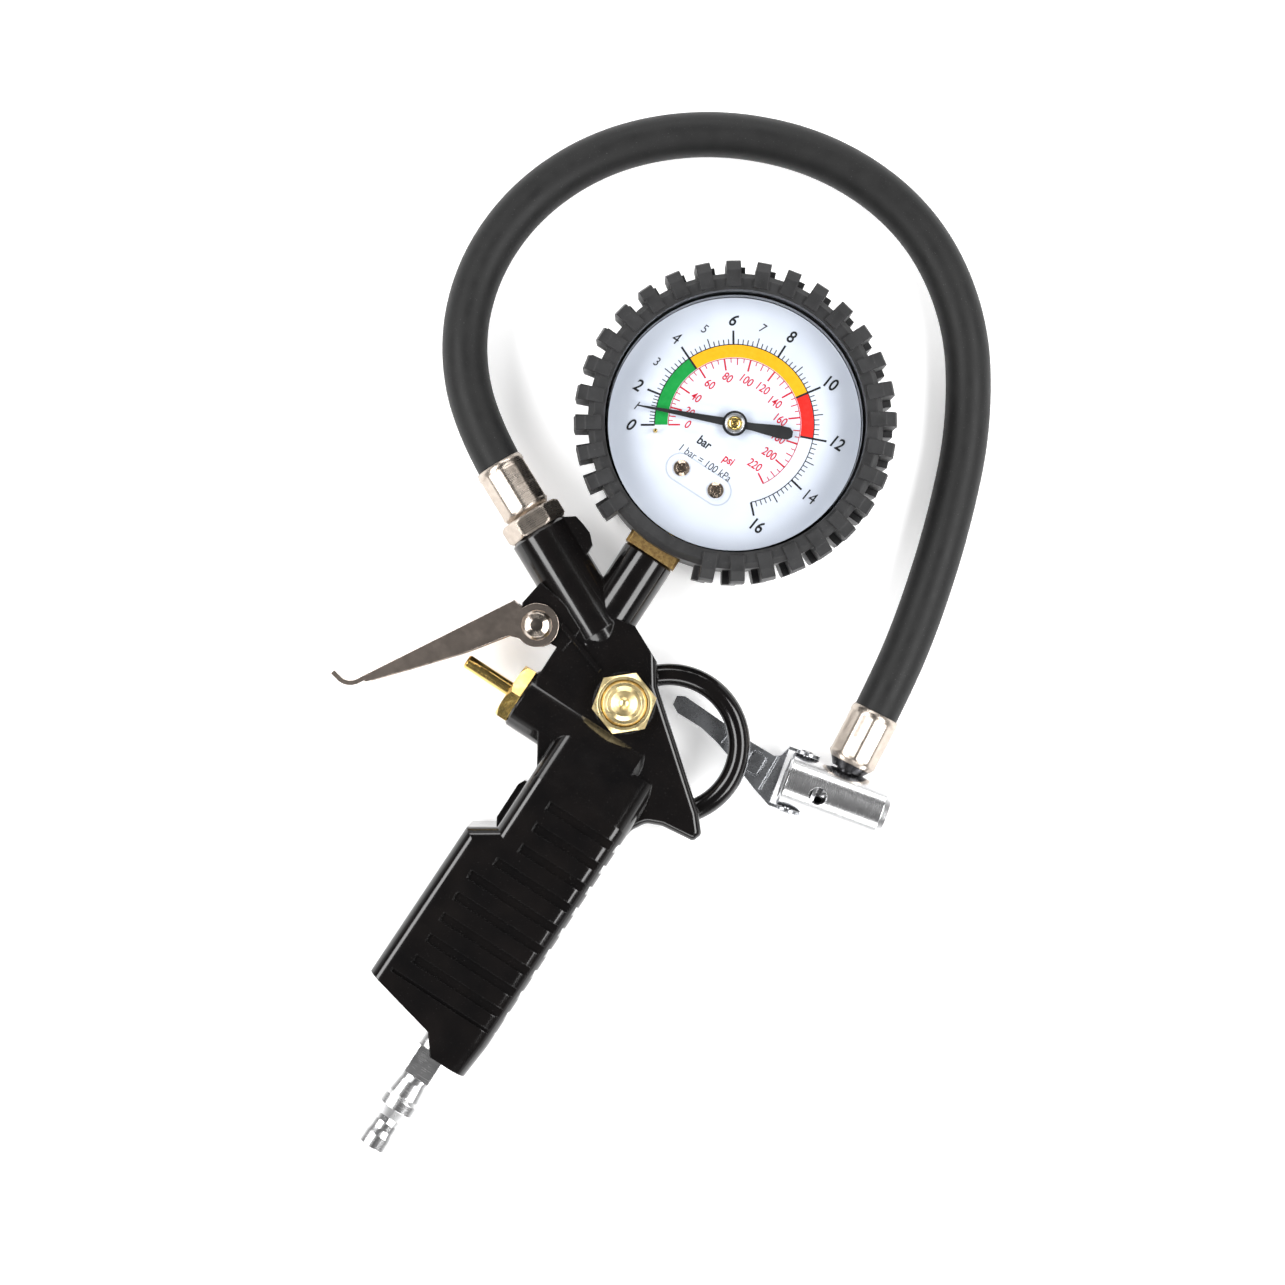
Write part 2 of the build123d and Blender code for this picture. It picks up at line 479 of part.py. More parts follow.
SECTOR_R = GEAR_MODULE * SECTOR_TEETH / 2
PINION_R = GEAR_MODULE * PINION_TEETH / 2
SECTOR_X, SECTOR_Y = polar(SECTOR_R + PINION_R, SECTOR_DEG, 0, GAUGE_Y)
SECTOR = Plane(origin=(SECTOR_X, SECTOR_Y, 0), x_dir=(1, 0, 0), z_dir=(0, 0, 1))
TAIL_X, TAIL_Y = polar(5.57, -72.0, SECTOR_X, SECTOR_Y)
TIP_PIN_X, TIP_PIN_Y = polar(TUBE_R, -27.0, 0, GAUGE_Y)
SECTOR_SWING = 27.4           # turn of the sector from the resting pointer to full scale, degrees
POST_X, POST_Y = 5.0, GAUGE_Y - 16.2
THIRD_X, THIRD_Y = -6.5, GAUGE_Y + 6.5

with BuildPart() as tube_tip:
    ring_piece([(22.4, 9.6), (25.6, 9.6), (25.6, 15.4), (22.4, 15.4)], TIP_END_DEG, TIP_STEP_DEG)
    ring_piece([(22.4, 9.6), (25.6, 9.6), (25.6, 18.4), (22.4, 18.4)], TIP_STEP_DEG, TUBE_END_DEG)
    rod(Plane(origin=(TIP_PIN_X, TIP_PIN_Y, 0), x_dir=(1, 0, 0), z_dir=(0, 0, 1)), 0.5, 15.0, 17.2)
tube_tip.part.label = "tube_tip"
export_step(tube_tip.part, "parts/tube_tip.step")


def involute_half_angle(radius, pitch_radius):
    """Half the angle, in radians, that a gear tooth fills at a radius, for 20 degree involutes."""
    base = pitch_radius * cos(radians(20))
    pressure = acos(min(1.0, base / radius))
    involute = tan(pressure) - pressure
    at_pitch = tan(radians(20)) - radians(20)
    teeth = 2 * pitch_radius / GEAR_MODULE
    return pi / (2 * teeth) - BACKLASH / (2 * pitch_radius) + at_pitch - involute


def tooth_points(pitch_radius, centre_deg, x, y):
    """Corners of one tooth, from its right root to its left root seen from the gear's centre."""
    root, tip = pitch_radius - 1.25 * GEAR_MODULE, pitch_radius + 0.8 * GEAR_MODULE
    flank = [max(root, pitch_radius * cos(radians(20))), pitch_radius, tip]
    right = [(root, involute_half_angle(flank[0], pitch_radius))]
    right += [(radius, involute_half_angle(radius, pitch_radius)) for radius in flank if radius > root + 0.01]
    corners = [(radius, -half) for radius, half in right]
    corners += [(radius, half) for radius, half in reversed(right)]
    return [polar(radius, centre_deg + half * 180 / pi, x, y) for radius, half in corners]


with BuildPart() as sector_gear:
    tooth_deg = 360 / SECTOR_TEETH
    mesh_deg = SECTOR_DEG + 180
    rim = []
    for tooth in range(-10, 3):
        rim += tooth_points(SECTOR_R, mesh_deg + tooth * tooth_deg, SECTOR_X, SECTOR_Y)
    low_deg, high_deg = mesh_deg - 10.4 * tooth_deg, mesh_deg + 2.4 * tooth_deg
    with BuildSketch(Plane.XY.offset(14.9)) as sector_face:
        with BuildLine():
            outline = Polyline(polar(13.1, low_deg, SECTOR_X, SECTOR_Y), *rim,
                               polar(13.1, high_deg, SECTOR_X, SECTOR_Y))
            back = ThreePointArc(polar(11.4, high_deg, SECTOR_X, SECTOR_Y),
                                 polar(11.4, (high_deg + low_deg) / 2, SECTOR_X, SECTOR_Y),
                                 polar(11.4, low_deg, SECTOR_X, SECTOR_Y))
            Line(outline @ 1, back @ 0)
            Line(back @ 1, outline @ 0)
        make_face()
    extrude(sector_face.sketch, amount=1.0)
    for arm_deg in (low_deg + 3, high_deg - 3):
        left = arm_deg + 90
        slab([polar(1.0, left, *polar(0, 0, SECTOR_X, SECTOR_Y)), polar(1.0, left + 180, SECTOR_X, SECTOR_Y),
              polar(0.7, left + 180, *polar(11.8, arm_deg, SECTOR_X, SECTOR_Y)),
              polar(0.7, left, *polar(11.8, arm_deg, SECTOR_X, SECTOR_Y))], 14.9, 15.9)
    tail_deg = -72.0
    slab([polar(1.1, tail_deg + 90, SECTOR_X, SECTOR_Y), polar(1.1, tail_deg - 90, SECTOR_X, SECTOR_Y),
          polar(1.0, tail_deg - 90, TAIL_X, TAIL_Y), polar(1.0, tail_deg + 90, TAIL_X, TAIL_Y)], 14.9, 15.9)
    rod(Plane(origin=(TAIL_X, TAIL_Y, 0), x_dir=(1, 0, 0), z_dir=(0, 0, 1)), 1.2, 14.9, 15.9)
    rod(Plane(origin=(TAIL_X, TAIL_Y, 0), x_dir=(1, 0, 0), z_dir=(0, 0, 1)), 0.5, 14.9, 17.2)
    rod(SECTOR, 2.0, 14.6, 16.6)
    rod(SECTOR, 0.7, 12.1, 19.9)
sector_gear.part.label = "sector_gear"
export_step(sector_gear.part, "parts/sector_gear.step")

with BuildPart() as pinion_arbor:
    pinion_rim = []
    for tooth in range(PINION_TEETH):
        # a tooth space faces the sector at rest
        centre = SECTOR_DEG + (tooth + 0.5) * 360 / PINION_TEETH
        pinion_rim += tooth_points(PINION_R, centre, 0, GAUGE_Y)
    slab(pinion_rim, 14.4, 16.4)
    turn(GAUGE, [(0, 12.1), (0.7, 12.1), (0.7, 17.3), (1.3, 17.3), (1.3, 18.3), (0.7, 18.3), (0.7, 26.3),
                 (0, 26.4)])
pinion_arbor.part.label = "pinion_arbor"
export_step(pinion_arbor.part, "parts/pinion_arbor.step")

swing = radians(SECTOR_SWING)
tail_dx, tail_dy = TAIL_X - SECTOR_X, TAIL_Y - SECTOR_Y
link_dx = tail_dx * cos(swing) - tail_dy * sin(swing) - tail_dx
link_dy = tail_dx * sin(swing) + tail_dy * cos(swing) - tail_dy
with BuildPart() as tube_link:
    near = (TIP_PIN_X - link_dx, TIP_PIN_Y - link_dy)
    far = (TIP_PIN_X + 0.1 * link_dx, TIP_PIN_Y + 0.1 * link_dy)
    with BuildSketch(Plane.XY.offset(16.3)) as link_face:
        with Locations((TAIL_X, TAIL_Y), near, far):
            Circle(1.45)
        make_hull()
        with Locations((TAIL_X, TAIL_Y)):
            Circle(0.5 + FIT, mode=Mode.SUBTRACT)
    extrude(link_face.sketch, amount=0.6)
    with BuildSketch(Plane.XY.offset(16.0)) as slot_face:
        with Locations(near, far):
            Circle(0.85)
        make_hull()
    extrude(slot_face.sketch, amount=1.2, mode=Mode.SUBTRACT)
tube_link.part.label = "tube_link"
export_step(tube_link.part, "parts/tube_link.step")


def movement_plate(low, high, shaft_holes, screw_holes):
    """Plate of the movement: the hull of its five bosses, with the arbors' and the screws' holes."""
    with BuildSketch(Plane.XY.offset(low)) as face:
        with Locations((0, GAUGE_Y), (SECTOR_X, SECTOR_Y), (POST_X, POST_Y), (-POST_X, POST_Y),
                       (THIRD_X, THIRD_Y)):
            Circle(3.4)
        make_hull()
        with Locations((0, GAUGE_Y), (SECTOR_X, SECTOR_Y)):
            Circle(shaft_holes, mode=Mode.SUBTRACT)
        with Locations((POST_X, POST_Y), (-POST_X, POST_Y)):
            Circle(screw_holes, mode=Mode.SUBTRACT)
    extrude(face.sketch, amount=high - low)


with BuildPart() as movement_back_plate:
    movement_plate(12.0, 12.8, 0.7 + FIT, 1.1)
movement_back_plate.part.label = "movement_back_plate"
export_step(movement_back_plate.part, "parts/movement_back_plate.step")

with BuildPart() as movement_front_plate:
    movement_plate(19.2, 20.0, 0.7 + FIT, 1.1)
    rod(Plane(origin=(-6.65, GAUGE_Y, 0), x_dir=(1, 0, 0), z_dir=(0, 0, 1)), 0.5, 17.3, 19.2)
    slab([(-6.9, GAUGE_Y - 3), (-1, GAUGE_Y - 3), (-1, GAUGE_Y + 3), (-6.9, GAUGE_Y + 3)], 19.2, 20.0)
    rod(GAUGE, 0.7 + FIT, 19, 21, Mode.SUBTRACT)
movement_front_plate.part.label = "movement_front_plate"
export_step(movement_front_plate.part, "parts/movement_front_plate.step")

with BuildPart() as movement_pillars:
    for x, y in ((POST_X, POST_Y), (-POST_X, POST_Y), (THIRD_X, THIRD_Y)):
        turn(Plane(origin=(x, y, 0), x_dir=(1, 0, 0), z_dir=(0, 0, 1)),
             [(1.1, 12.8), (2.1, 12.8), (2.1, 19.2), (1.1, 19.2)])
movement_pillars.part.label = "movement_pillars"
export_step(movement_pillars.part, "parts/movement_pillars.step")

with BuildPart() as dial_spacers:
    for x in (POST_X, -POST_X):
        turn(Plane(origin=(x, POST_Y, 0), x_dir=(1, 0, 0), z_dir=(0, 0, 1)),
             [(1.1, 20.0), (2.3, 20.0), (2.3, DIAL_Z), (1.1, DIAL_Z)])
dial_spacers.part.label = "dial_spacers"
export_step(dial_spacers.part, "parts/dial_spacers.step")

with BuildPart() as hairspring:
    # flat spiral from the arbor's collet to the stud of the front plate
    spiral = []
    turns, inner_r, outer_r = 4, 1.6, 6.0
    steps = 16 * turns + 8
    for step in range(steps + 1):
        spiral.append(polar(inner_r + (outer_r - inner_r) * step / steps, step * 22.5, 0, GAUGE_Y))
    with BuildSketch(Plane.XY.offset(17.5)) as spiral_face:
        with BuildLine():
            strip = Spline(*spiral)
        trace(strip, line_width=0.16)
    extrude(spiral_face.sketch, amount=0.6)
hairspring.part.label = "hairspring"
export_step(hairspring.part, "parts/hairspring.step")

STOP_X, STOP_Y = -15.4, GAUGE_Y - 12.1
with BuildPart() as dial_plate:
    turn(GAUGE, [(1.8, DIAL_Z), (31.2, DIAL_Z), (31.2, DIAL_Z + 0.6), (1.8, DIAL_Z + 0.6)])
    for x, y, hole in ((POST_X, POST_Y, 1.1), (-POST_X, POST_Y, 1.1), (STOP_X, STOP_Y, 0.5 + FIT / 2)):
        rod(Plane(origin=(x, y, 0), x_dir=(1, 0, 0), z_dir=(0, 0, 1)), hole, 21, 24, Mode.SUBTRACT)
dial_plate.part.label = "dial_plate"
export_step(dial_plate.part, "parts/dial_plate.step")

with BuildPart() as dial_screws:
    head_z = DIAL_Z + 0.6
    for x in (POST_X, -POST_X):
        turn(Plane(origin=(x, POST_Y, 0), x_dir=(1, 0, 0), z_dir=(0, 0, 1)),
             [(0, 13.5), (1.0, 13.5), (1.0, head_z), (2.0, head_z), (2.0, head_z + 0.5), (1.2, head_z + 1.0),
              (0, head_z + 1.1)])
        for long, wide in ((1.3, 0.3), (0.3, 1.3)):
            slab([(x - long, POST_Y - wide), (x + long, POST_Y - wide), (x + long, POST_Y + wide),
                  (x - long, POST_Y + wide)], head_z + 0.5, head_z + 2, Mode.SUBTRACT)
dial_screws.part.label = "dial_screws"
export_step(dial_screws.part, "parts/dial_screws.step")

with BuildPart() as stop_pin:
    turn(Plane(origin=(STOP_X, STOP_Y, 0), x_dir=(1, 0, 0), z_dir=(0, 0, 1)),
         [(0, DIAL_Z - 0.4), (0.5, DIAL_Z - 0.4), (0.5, 25.2), (0.3, 25.5), (0, 25.5)])
stop_pin.part.label = "stop_pin"
export_step(stop_pin.part, "parts/stop_pin.step")

POINTER_DEG = 202.4           # direction of the pointer at rest, just above the first bar
with BuildPart() as pointer:
    def pointer_point(radius, side):
        base_x, base_y = polar(radius, POINTER_DEG, 0, GAUGE_Y)
        return polar(side, POINTER_DEG + 90, base_x, base_y)

    slab([pointer_point(24.3, 0.15), pointer_point(20.0, 0.35), pointer_point(2.0, 1.0),
          pointer_point(-4.0, 0.9), pointer_point(-11.0, 1.6), pointer_point(-13.6, 1.5),
          pointer_point(-14.5, 0.7), pointer_point(-14.5, -0.7), pointer_point(-13.6, -1.5),
          pointer_point(-11.0, -1.6), pointer_point(-4.0, -0.9), pointer_point(2.0, -1.0),
          pointer_point(20.0, -0.35), pointer_point(24.3, -0.15)], 24.5, 24.9)
    turn(GAUGE, [(0, 23.4), (1.6, 23.4), (1.6, 24.5), (3.1, 24.5), (3.1, 25.1), (2.5, 25.6), (0, 25.6)])
    rod(GAUGE, 0.7 + FIT / 2, 23, 27, Mode.SUBTRACT)
pointer.part.label = "pointer"
export_step(pointer.part, "parts/pointer.step")

# ---- hose and its fittings -------------------------------------------------------------------
with BuildPart() as hose_nipple:
    hex_end = HOSE_BOSS_LENGTH + 4.9
    rod(HOSE_BOSS, PORT_R - FIT, HOSE_BOSS_LENGTH - 9.5, HOSE_BOSS_LENGTH)
    prism(HOSE_BOSS, 14.0, HOSE_BOSS_LENGTH, hex_end, spin=30)
    turn(HOSE_BOSS, [(0, 19.0), (7.0, 19.0), (7.0, 29.5), (7.4, HOSE_BOSS_LENGTH), (8.2, 30.4),
                     (8.2, hex_end - 0.8), (7.3, hex_end), (0, hex_end)], Mode.INTERSECT)
    rod(HOSE_BOSS, 2.95, hex_end, 40.8)
    rod(HOSE_BOSS, 1.6, 15.0, 42.0, Mode.SUBTRACT)
hose_nipple.part.label = "hose_nipple"
export_step(hose_nipple.part, "parts/hose_nipple.step")

FLUTES = 10


def ferrule(axis_plane, back, mouth):
    """Crimped sleeve: a flat-fluted tube with a rounded lip, open towards the hose."""
    turn(axis_plane, [
        (3.0, back), (5.4, back), (FERRULE_R, back + 1.2), (FERRULE_R, mouth - 0.9), (FERRULE_R - 0.3, mouth),
        (HOSE_R + FIT, mouth), (HOSE_R + FIT, back + 6.5), (3.0, back + 6.5),
    ])
    crimp = 2 * (FERRULE_R - 0.22)
    with BuildSketch(axis_plane.offset(back + 1.8)) as crimp_ring:
        Circle(FERRULE_R + 1)
        RegularPolygon(crimp / 2, FLUTES, major_radius=False, mode=Mode.SUBTRACT)
    extrude(crimp_ring.sketch, amount=mouth - back - 3.6, mode=Mode.SUBTRACT)


with BuildPart() as hose_ferrule_near:
    ferrule(HOSE_BOSS, 34.4, 48.9)
hose_ferrule_near.part.label = "hose_ferrule_near"
export_step(hose_ferrule_near.part, "parts/hose_ferrule_near.step")

NECK_BACK, NECK_MOUTH = 9.0, 23.5
with BuildPart() as hose_ferrule_far:
    ferrule(NECK, NECK_BACK, NECK_MOUTH)
hose_ferrule_far.part.label = "hose_ferrule_far"
export_step(hose_ferrule_far.part, "parts/hose_ferrule_far.step")


def on_axis(axis_plane, distance):
    """Point on a plane's normal, at a distance from its origin."""
    return tuple(axis_plane.origin + axis_plane.z_dir * distance)


# The hose leaves each ferrule along its axis, and rests on the table in between.
HOSE_ROUTE = [
    on_axis(HOSE_BOSS, 41.0), on_axis(HOSE_BOSS, 59.3), (-69.2, 60.2, 11.2), (-76.4, 81.0, 8.0),
    (-74.4, 103.6, 6.4), (-63.2, 124.8, 6.0), (-43.0, 141.8, 6.0), (-16.6, 151.3, 6.0),
    (11.0, 149.6, 6.0), (34.2, 135.6, 6.0), (49.6, 113.4, 6.0), (58.9, 89.4, 6.0), (65.3, 66.4, 6.2),
    on_axis(NECK, 32.2), on_axis(NECK, NECK_BACK + 6.6),
]


def bend_radii(route):
    """Largest arc at each corner that leaves a tenth of the shorter run straight."""
    radii = []
    for before, corner, after in zip(route, route[1:], route[2:]):
        run_in, run_out = Vector(corner) - Vector(before), Vector(after) - Vector(corner)
        half_turn = radians(run_in.get_angle(run_out)) / 2
        radii.append(0.45 * min(run_in.length, run_out.length) / tan(half_turn))
    return radii


radii = bend_radii(HOSE_ROUTE)
with BuildPart() as hose:
    with BuildLine() as hose_line:
        FilletPolyline(*HOSE_ROUTE, radius=radii)
    hose_path = hose_line.wire()
    with BuildSketch(Plane(origin=hose_path @ 0, z_dir=hose_path % 0)) as hose_section:
        Circle(HOSE_R)
    sweep(hose_section.sketch, path=hose_path)
hose.part.label = "hose"
export_step(hose.part, "parts/hose.step")
print("hose bend radii", [round(radius, 1) for radius in radii])
print("hose length", round(hose_path.length, 1), "volume / section x length",
      round(hose.part.volume / (pi * HOSE_R**2 * hose_path.length), 4))

# ---- chuck -----------------------------------------------------------------------------------
with BuildPart() as chuck_barrel:
    turn(BARREL, [
        (0, 0), (BARREL_R - 0.5, 0), (BARREL_R, 0.5), (BARREL_R, BARREL_LENGTH - 2.0),
        (BARREL_R - 0.7, BARREL_LENGTH - 0.5), (BARREL_R - 1.8, BARREL_LENGTH), (0, BARREL_LENGTH),
    ])
    rod(BARREL, 5.2, -1, BARREL_LENGTH - 1.4, Mode.SUBTRACT)
    rod(BARREL, 4.1, 0, BARREL_LENGTH + 1, Mode.SUBTRACT)
    rod(NECK, 2.6, 0, 10, Mode.SUBTRACT)
    # round sight hole in the upper wall
    tilt = radians(11.5)
    across = BARREL.y_dir * sin(tilt)
    hole_origin = BARREL.origin + BARREL.z_dir * 9.1
    up = Vector(0, 0, 1) * cos(tilt)
    hole_dirs = [up + across, up - across]
    hole_dir = min(hole_dirs, key=lambda direction: direction.Y)
    rod(Plane(origin=hole_origin, z_dir=hole_dir), 2.25, 3, 9, Mode.SUBTRACT)
    for direction in (BARREL_DEG + 90, BARREL_DEG - 90):
        pin_x, pin_y = polar(LEVER_PIN_AT, BARREL_DEG, BARREL_X, BARREL_Y)
        rod(along(pin_x, pin_y, BARREL_Z, direction), 1.2 + FIT / 2, 4, 9, Mode.SUBTRACT)
chuck_barrel.part.label = "chuck_barrel"
export_step(chuck_barrel.part, "parts/chuck_barrel.step")

with BuildPart() as chuck_neck:
    turn(NECK, [(1.6, 5.7), (2.6 - FIT / 2, 5.7), (2.6 - FIT / 2, 7.1), (4.0, 7.1), (5.3, NECK_BACK),
                (2.95, NECK_BACK), (2.95, NECK_BACK + 6.3), (1.6, NECK_BACK + 6.3)])
    rod(BARREL, BARREL_R + FIT / 2, 0, BARREL_LENGTH, Mode.SUBTRACT)
    turn(NECK, [(1.6, 5.7), (2.6 - FIT / 2, 5.7), (2.6 - FIT / 2, 7.1), (1.6, 7.1)])
chuck_neck.part.label = "chuck_neck"
export_step(chuck_neck.part, "parts/chuck_neck.step")

with BuildPart() as chuck_plunger:
    turn(BARREL, [
        (0, 0.8), (2.4, 0.8), (2.4, 4.6), (5.15, 4.6), (5.15, 5.8), (4.1, 5.8), (4.1, 7.6), (5.15, 7.6),
        (5.15, 8.6), (3.4, 8.6), (3.4, 15.0), (5.15, 15.0), (5.15, 16.6), (1.4, 16.6), (1.4, 12.0),
        (0, 12.0),
    ])
    cross_x, cross_y = polar(13.4, BARREL_DEG, BARREL_X, BARREL_Y)
    with BuildSketch(along(cross_x, cross_y, BARREL_Z, BARREL_DEG + 90)) as cross_hole:
        Circle(0.9)
    extrude(cross_hole.sketch, amount=6, both=True, mode=Mode.SUBTRACT)
chuck_plunger.part.label = "chuck_plunger"
export_step(chuck_plunger.part, "parts/chuck_plunger.step")

with BuildPart() as plunger_oring:
    turn(BARREL, [(4.12, 6.1), (4.6, 5.9), (5.1, 6.2), (5.18, 6.7), (5.1, 7.2), (4.6, 7.5), (4.12, 7.3)])
plunger_oring.part.label = "plunger_oring"
export_step(plunger_oring.part, "parts/plunger_oring.step")

with BuildPart() as depressor_pin:
    turn(BARREL, [(0, 12.4), (0.8, 12.4), (0.8, 16.8), (1.1, 17.2), (1.1, 22.0), (0.8, 22.4), (0, 22.4)])
    for direction in (BARREL_DEG + 90, BARREL_DEG - 90):
        spoke = along(*polar(16.0, BARREL_DEG, BARREL_X, BARREL_Y), BARREL_Z, direction)
        rod(spoke, 0.35, 0, 1.39)
depressor_pin.part.label = "depressor_pin"
export_step(depressor_pin.part, "parts/depressor_pin.step")

with BuildPart() as chuck_grommet:
    turn(BARREL, [(4.0, 18.2), (5.15, 18.2), (5.15, BARREL_LENGTH - 1.45), (4.3, BARREL_LENGTH - 1.45),
                  (3.9, BARREL_LENGTH - 2.4), (3.9, 19.0)])
chuck_grommet.part.label = "chuck_grommet"
export_step(chuck_grommet.part, "parts/chuck_grommet.step")

# Lever of the chuck: pressed sheet, folded down along both long edges. Its outline is given
# in the barrel's own axes, (along the barrel, across it), and the tip bends towards +Y.
LEVER_TOP_Z = 9.6
LEVER_SHEET = 0.9
LEVER_OUTLINE = [
    (-1.4, 7.9), (-2.9, 4.9), (-4.4, 4.3), (-11.3, 5.6), (-19.3, 7.7), (-30.6, 10.6), (-32.6, 10.0),
    (-32.8, 7.6), (-31.0, 6.0), (-24.1, 4.6), (-19.4, 2.6), (-15.4, 0.4), (-9.9, -3.0), (-6.0, -5.4),
    (-1.4, -7.9),
]


def barrel_point(along_barrel, across):
    base_x, base_y = polar(along_barrel, BARREL_DEG, BARREL_X, BARREL_Y)
    return polar(across, BARREL_DEG + 90, base_x, base_y)


with BuildPart() as chuck_lever:
    slab([barrel_point(*point) for point in LEVER_OUTLINE], LEVER_TOP_Z - LEVER_SHEET, LEVER_TOP_Z)
    # skirts under the long edges
    upper_skirt = [(-2.9, 4.9), (-4.4, 4.3), (-11.3, 5.6), (-19.3, 7.7), (-30.6, 10.6), (-30.9, 9.6),
                   (-19.3, 6.7), (-11.3, 4.6), (-4.5, 3.3), (-3.4, 4.2)]
    lower_skirt = [(-24.1, 4.6), (-19.4, 2.6), (-15.4, 0.4), (-9.9, -3.0), (-6.0, -5.4), (-5.6, -4.5),
                   (-9.5, -2.1), (-15.0, 1.3), (-19.0, 3.5), (-23.8, 5.5)]
    slab([barrel_point(*point) for point in upper_skirt], LEVER_TOP_Z - 3.4, LEVER_TOP_Z - 0.1)
    slab([barrel_point(*point) for point in lower_skirt], LEVER_TOP_Z - 3.4, LEVER_TOP_Z - 0.1)
    # ears on both sides of the barrel, round the pins
    for side_sign in (1, -1):
        inner_face, outer_face = side_sign * (BARREL_R + 0.1), side_sign * (BARREL_R + 0.9)
        ear_plane = along(*barrel_point(LEVER_PIN_AT, inner_face), BARREL_Z, BARREL_DEG + side_sign * 90)
        rod(ear_plane, 3.6, 0, 0.8)
        slab([barrel_point(-1.6, inner_face), barrel_point(LEVER_PIN_AT, inner_face),
              barrel_point(LEVER_PIN_AT, outer_face), barrel_point(-1.6, outer_face)],
             BARREL_Z - 1.0, LEVER_TOP_Z)
        rod(ear_plane, 1.2 + FIT, -1, 2, Mode.SUBTRACT)
    # pressed lines on top: two folds across the sheet, and the edge of a rounded panel
    for fold in ([(-3.6, 4.4), (-3.1, 4.4), (-4.7, -4.9), (-5.2, -4.9)],
                 [(-17.0, 6.6), (-16.5, 6.6), (-18.1, 2.6), (-18.6, 2.6)]):
        slab([barrel_point(*point) for point in fold], LEVER_TOP_Z - 0.3, LEVER_TOP_Z + 0.1, Mode.SUBTRACT)
    with BuildSketch(Plane.XY.offset(LEVER_TOP_Z - 0.25)) as panel_edge:
        with Locations(Location((*barrel_point(-8.2, 0.9), 0), (0, 0, BARREL_DEG - 10))):
            RectangleRounded(4.2, 6.0, 1.2)
            RectangleRounded(3.4, 5.2, 0.8, mode=Mode.SUBTRACT)
    extrude(panel_edge.sketch, amount=1, mode=Mode.SUBTRACT)
chuck_lever.part.label = "chuck_lever"
export_step(chuck_lever.part, "parts/chuck_lever.step")

with BuildPart() as chuck_lever_pins:
    for direction in (BARREL_DEG + 90, BARREL_DEG - 90):
        pin_plane = along(*barrel_point(LEVER_PIN_AT, 0), BARREL_Z, direction)
        turn(pin_plane, [(0, 5.4), (1.2, 5.4), (1.2, BARREL_R + 1.0), (1.6, BARREL_R + 1.0),
                         (1.4, BARREL_R + 1.3), (0, BARREL_R + 1.35)])
chuck_lever_pins.part.label = "chuck_lever_pins"
export_step(chuck_lever_pins.part, "parts/chuck_lever_pins.step")
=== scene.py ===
import json
from math import cos, pi, radians, sin

import bmesh
import bpy
from mathutils import Matrix, Vector


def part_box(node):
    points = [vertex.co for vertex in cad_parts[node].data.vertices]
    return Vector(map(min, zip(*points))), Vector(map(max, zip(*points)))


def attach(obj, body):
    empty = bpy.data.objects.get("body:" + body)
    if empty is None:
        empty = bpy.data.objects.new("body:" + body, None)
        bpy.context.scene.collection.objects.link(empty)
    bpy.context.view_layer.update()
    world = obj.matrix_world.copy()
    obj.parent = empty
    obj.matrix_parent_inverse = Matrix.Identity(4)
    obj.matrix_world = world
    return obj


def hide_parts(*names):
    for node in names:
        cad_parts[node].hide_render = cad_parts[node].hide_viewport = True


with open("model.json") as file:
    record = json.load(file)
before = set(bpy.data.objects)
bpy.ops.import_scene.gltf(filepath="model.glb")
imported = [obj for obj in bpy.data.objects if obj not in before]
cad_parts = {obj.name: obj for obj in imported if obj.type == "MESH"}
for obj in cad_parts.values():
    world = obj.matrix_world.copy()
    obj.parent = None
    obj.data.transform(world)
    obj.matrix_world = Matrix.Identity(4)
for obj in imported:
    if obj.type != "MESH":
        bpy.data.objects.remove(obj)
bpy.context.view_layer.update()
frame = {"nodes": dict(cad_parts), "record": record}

# Tyre inflator with pressure gauge, lying on its side, dial up. Lengths are in metres and places
# are in the row frame: +Z up, +Y from the air plug to the gauge.

MM = 0.001
nodes = frame["nodes"]


def middle(node):
    """Centre of a CAD node's box."""
    low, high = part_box(node)
    return (Vector(low) + Vector(high)) / 2


def top(node):
    """Height of the top of a CAD node."""
    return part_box(node)[1][2]


def level(degrees):
    """Level direction, turned from +X towards +Y."""
    return Vector((cos(radians(degrees)), sin(radians(degrees)), 0))


GAUGE = middle("gauge_case")           # the dial's centre, on the gauge's axis
DIAL_TOP = top("dial_plate")
BLEED = middle("bleed_button")
BOSS_AXIS = level(154.5)               # direction of the hose boss
NECK_AXIS = level(95.9)                # direction of the chuck's neck
BARREL_AXIS = level(12.83)             # direction of the chuck's barrel

# ---- camera ----------------------------------------------------------------------------------
CAMERA_TURN = radians(33.08)           # the view is turned on the table about the vertical
CAMERA_PLACE = (0.0104, 0.0219, 0.664)
SENSOR_WIDTH = 36                      # millimetres, as Blender wants it
FOCAL_LENGTH = 72.84                   # millimetres
camera_data = bpy.data.cameras.new("camera")
camera_data.sensor_width = SENSOR_WIDTH
camera_data.lens = FOCAL_LENGTH
camera_data.clip_start = 0.01
camera = bpy.data.objects.new("camera", camera_data)
camera.location = CAMERA_PLACE
camera.rotation_euler = (0, 0, CAMERA_TURN)
bpy.context.scene.collection.objects.link(camera)
bpy.context.scene.camera = camera


# ---- helpers for pieces ----------------------------------------------------------------------
def add_piece(name, data, body, material):
    """Links a mesh or curve as a piece of the object that rides on a body."""
    piece = bpy.data.objects.new(name, data)
    bpy.context.scene.collection.objects.link(piece)
    data.materials.clear()
    data.materials.append(material)
    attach(piece, body)
    return piece


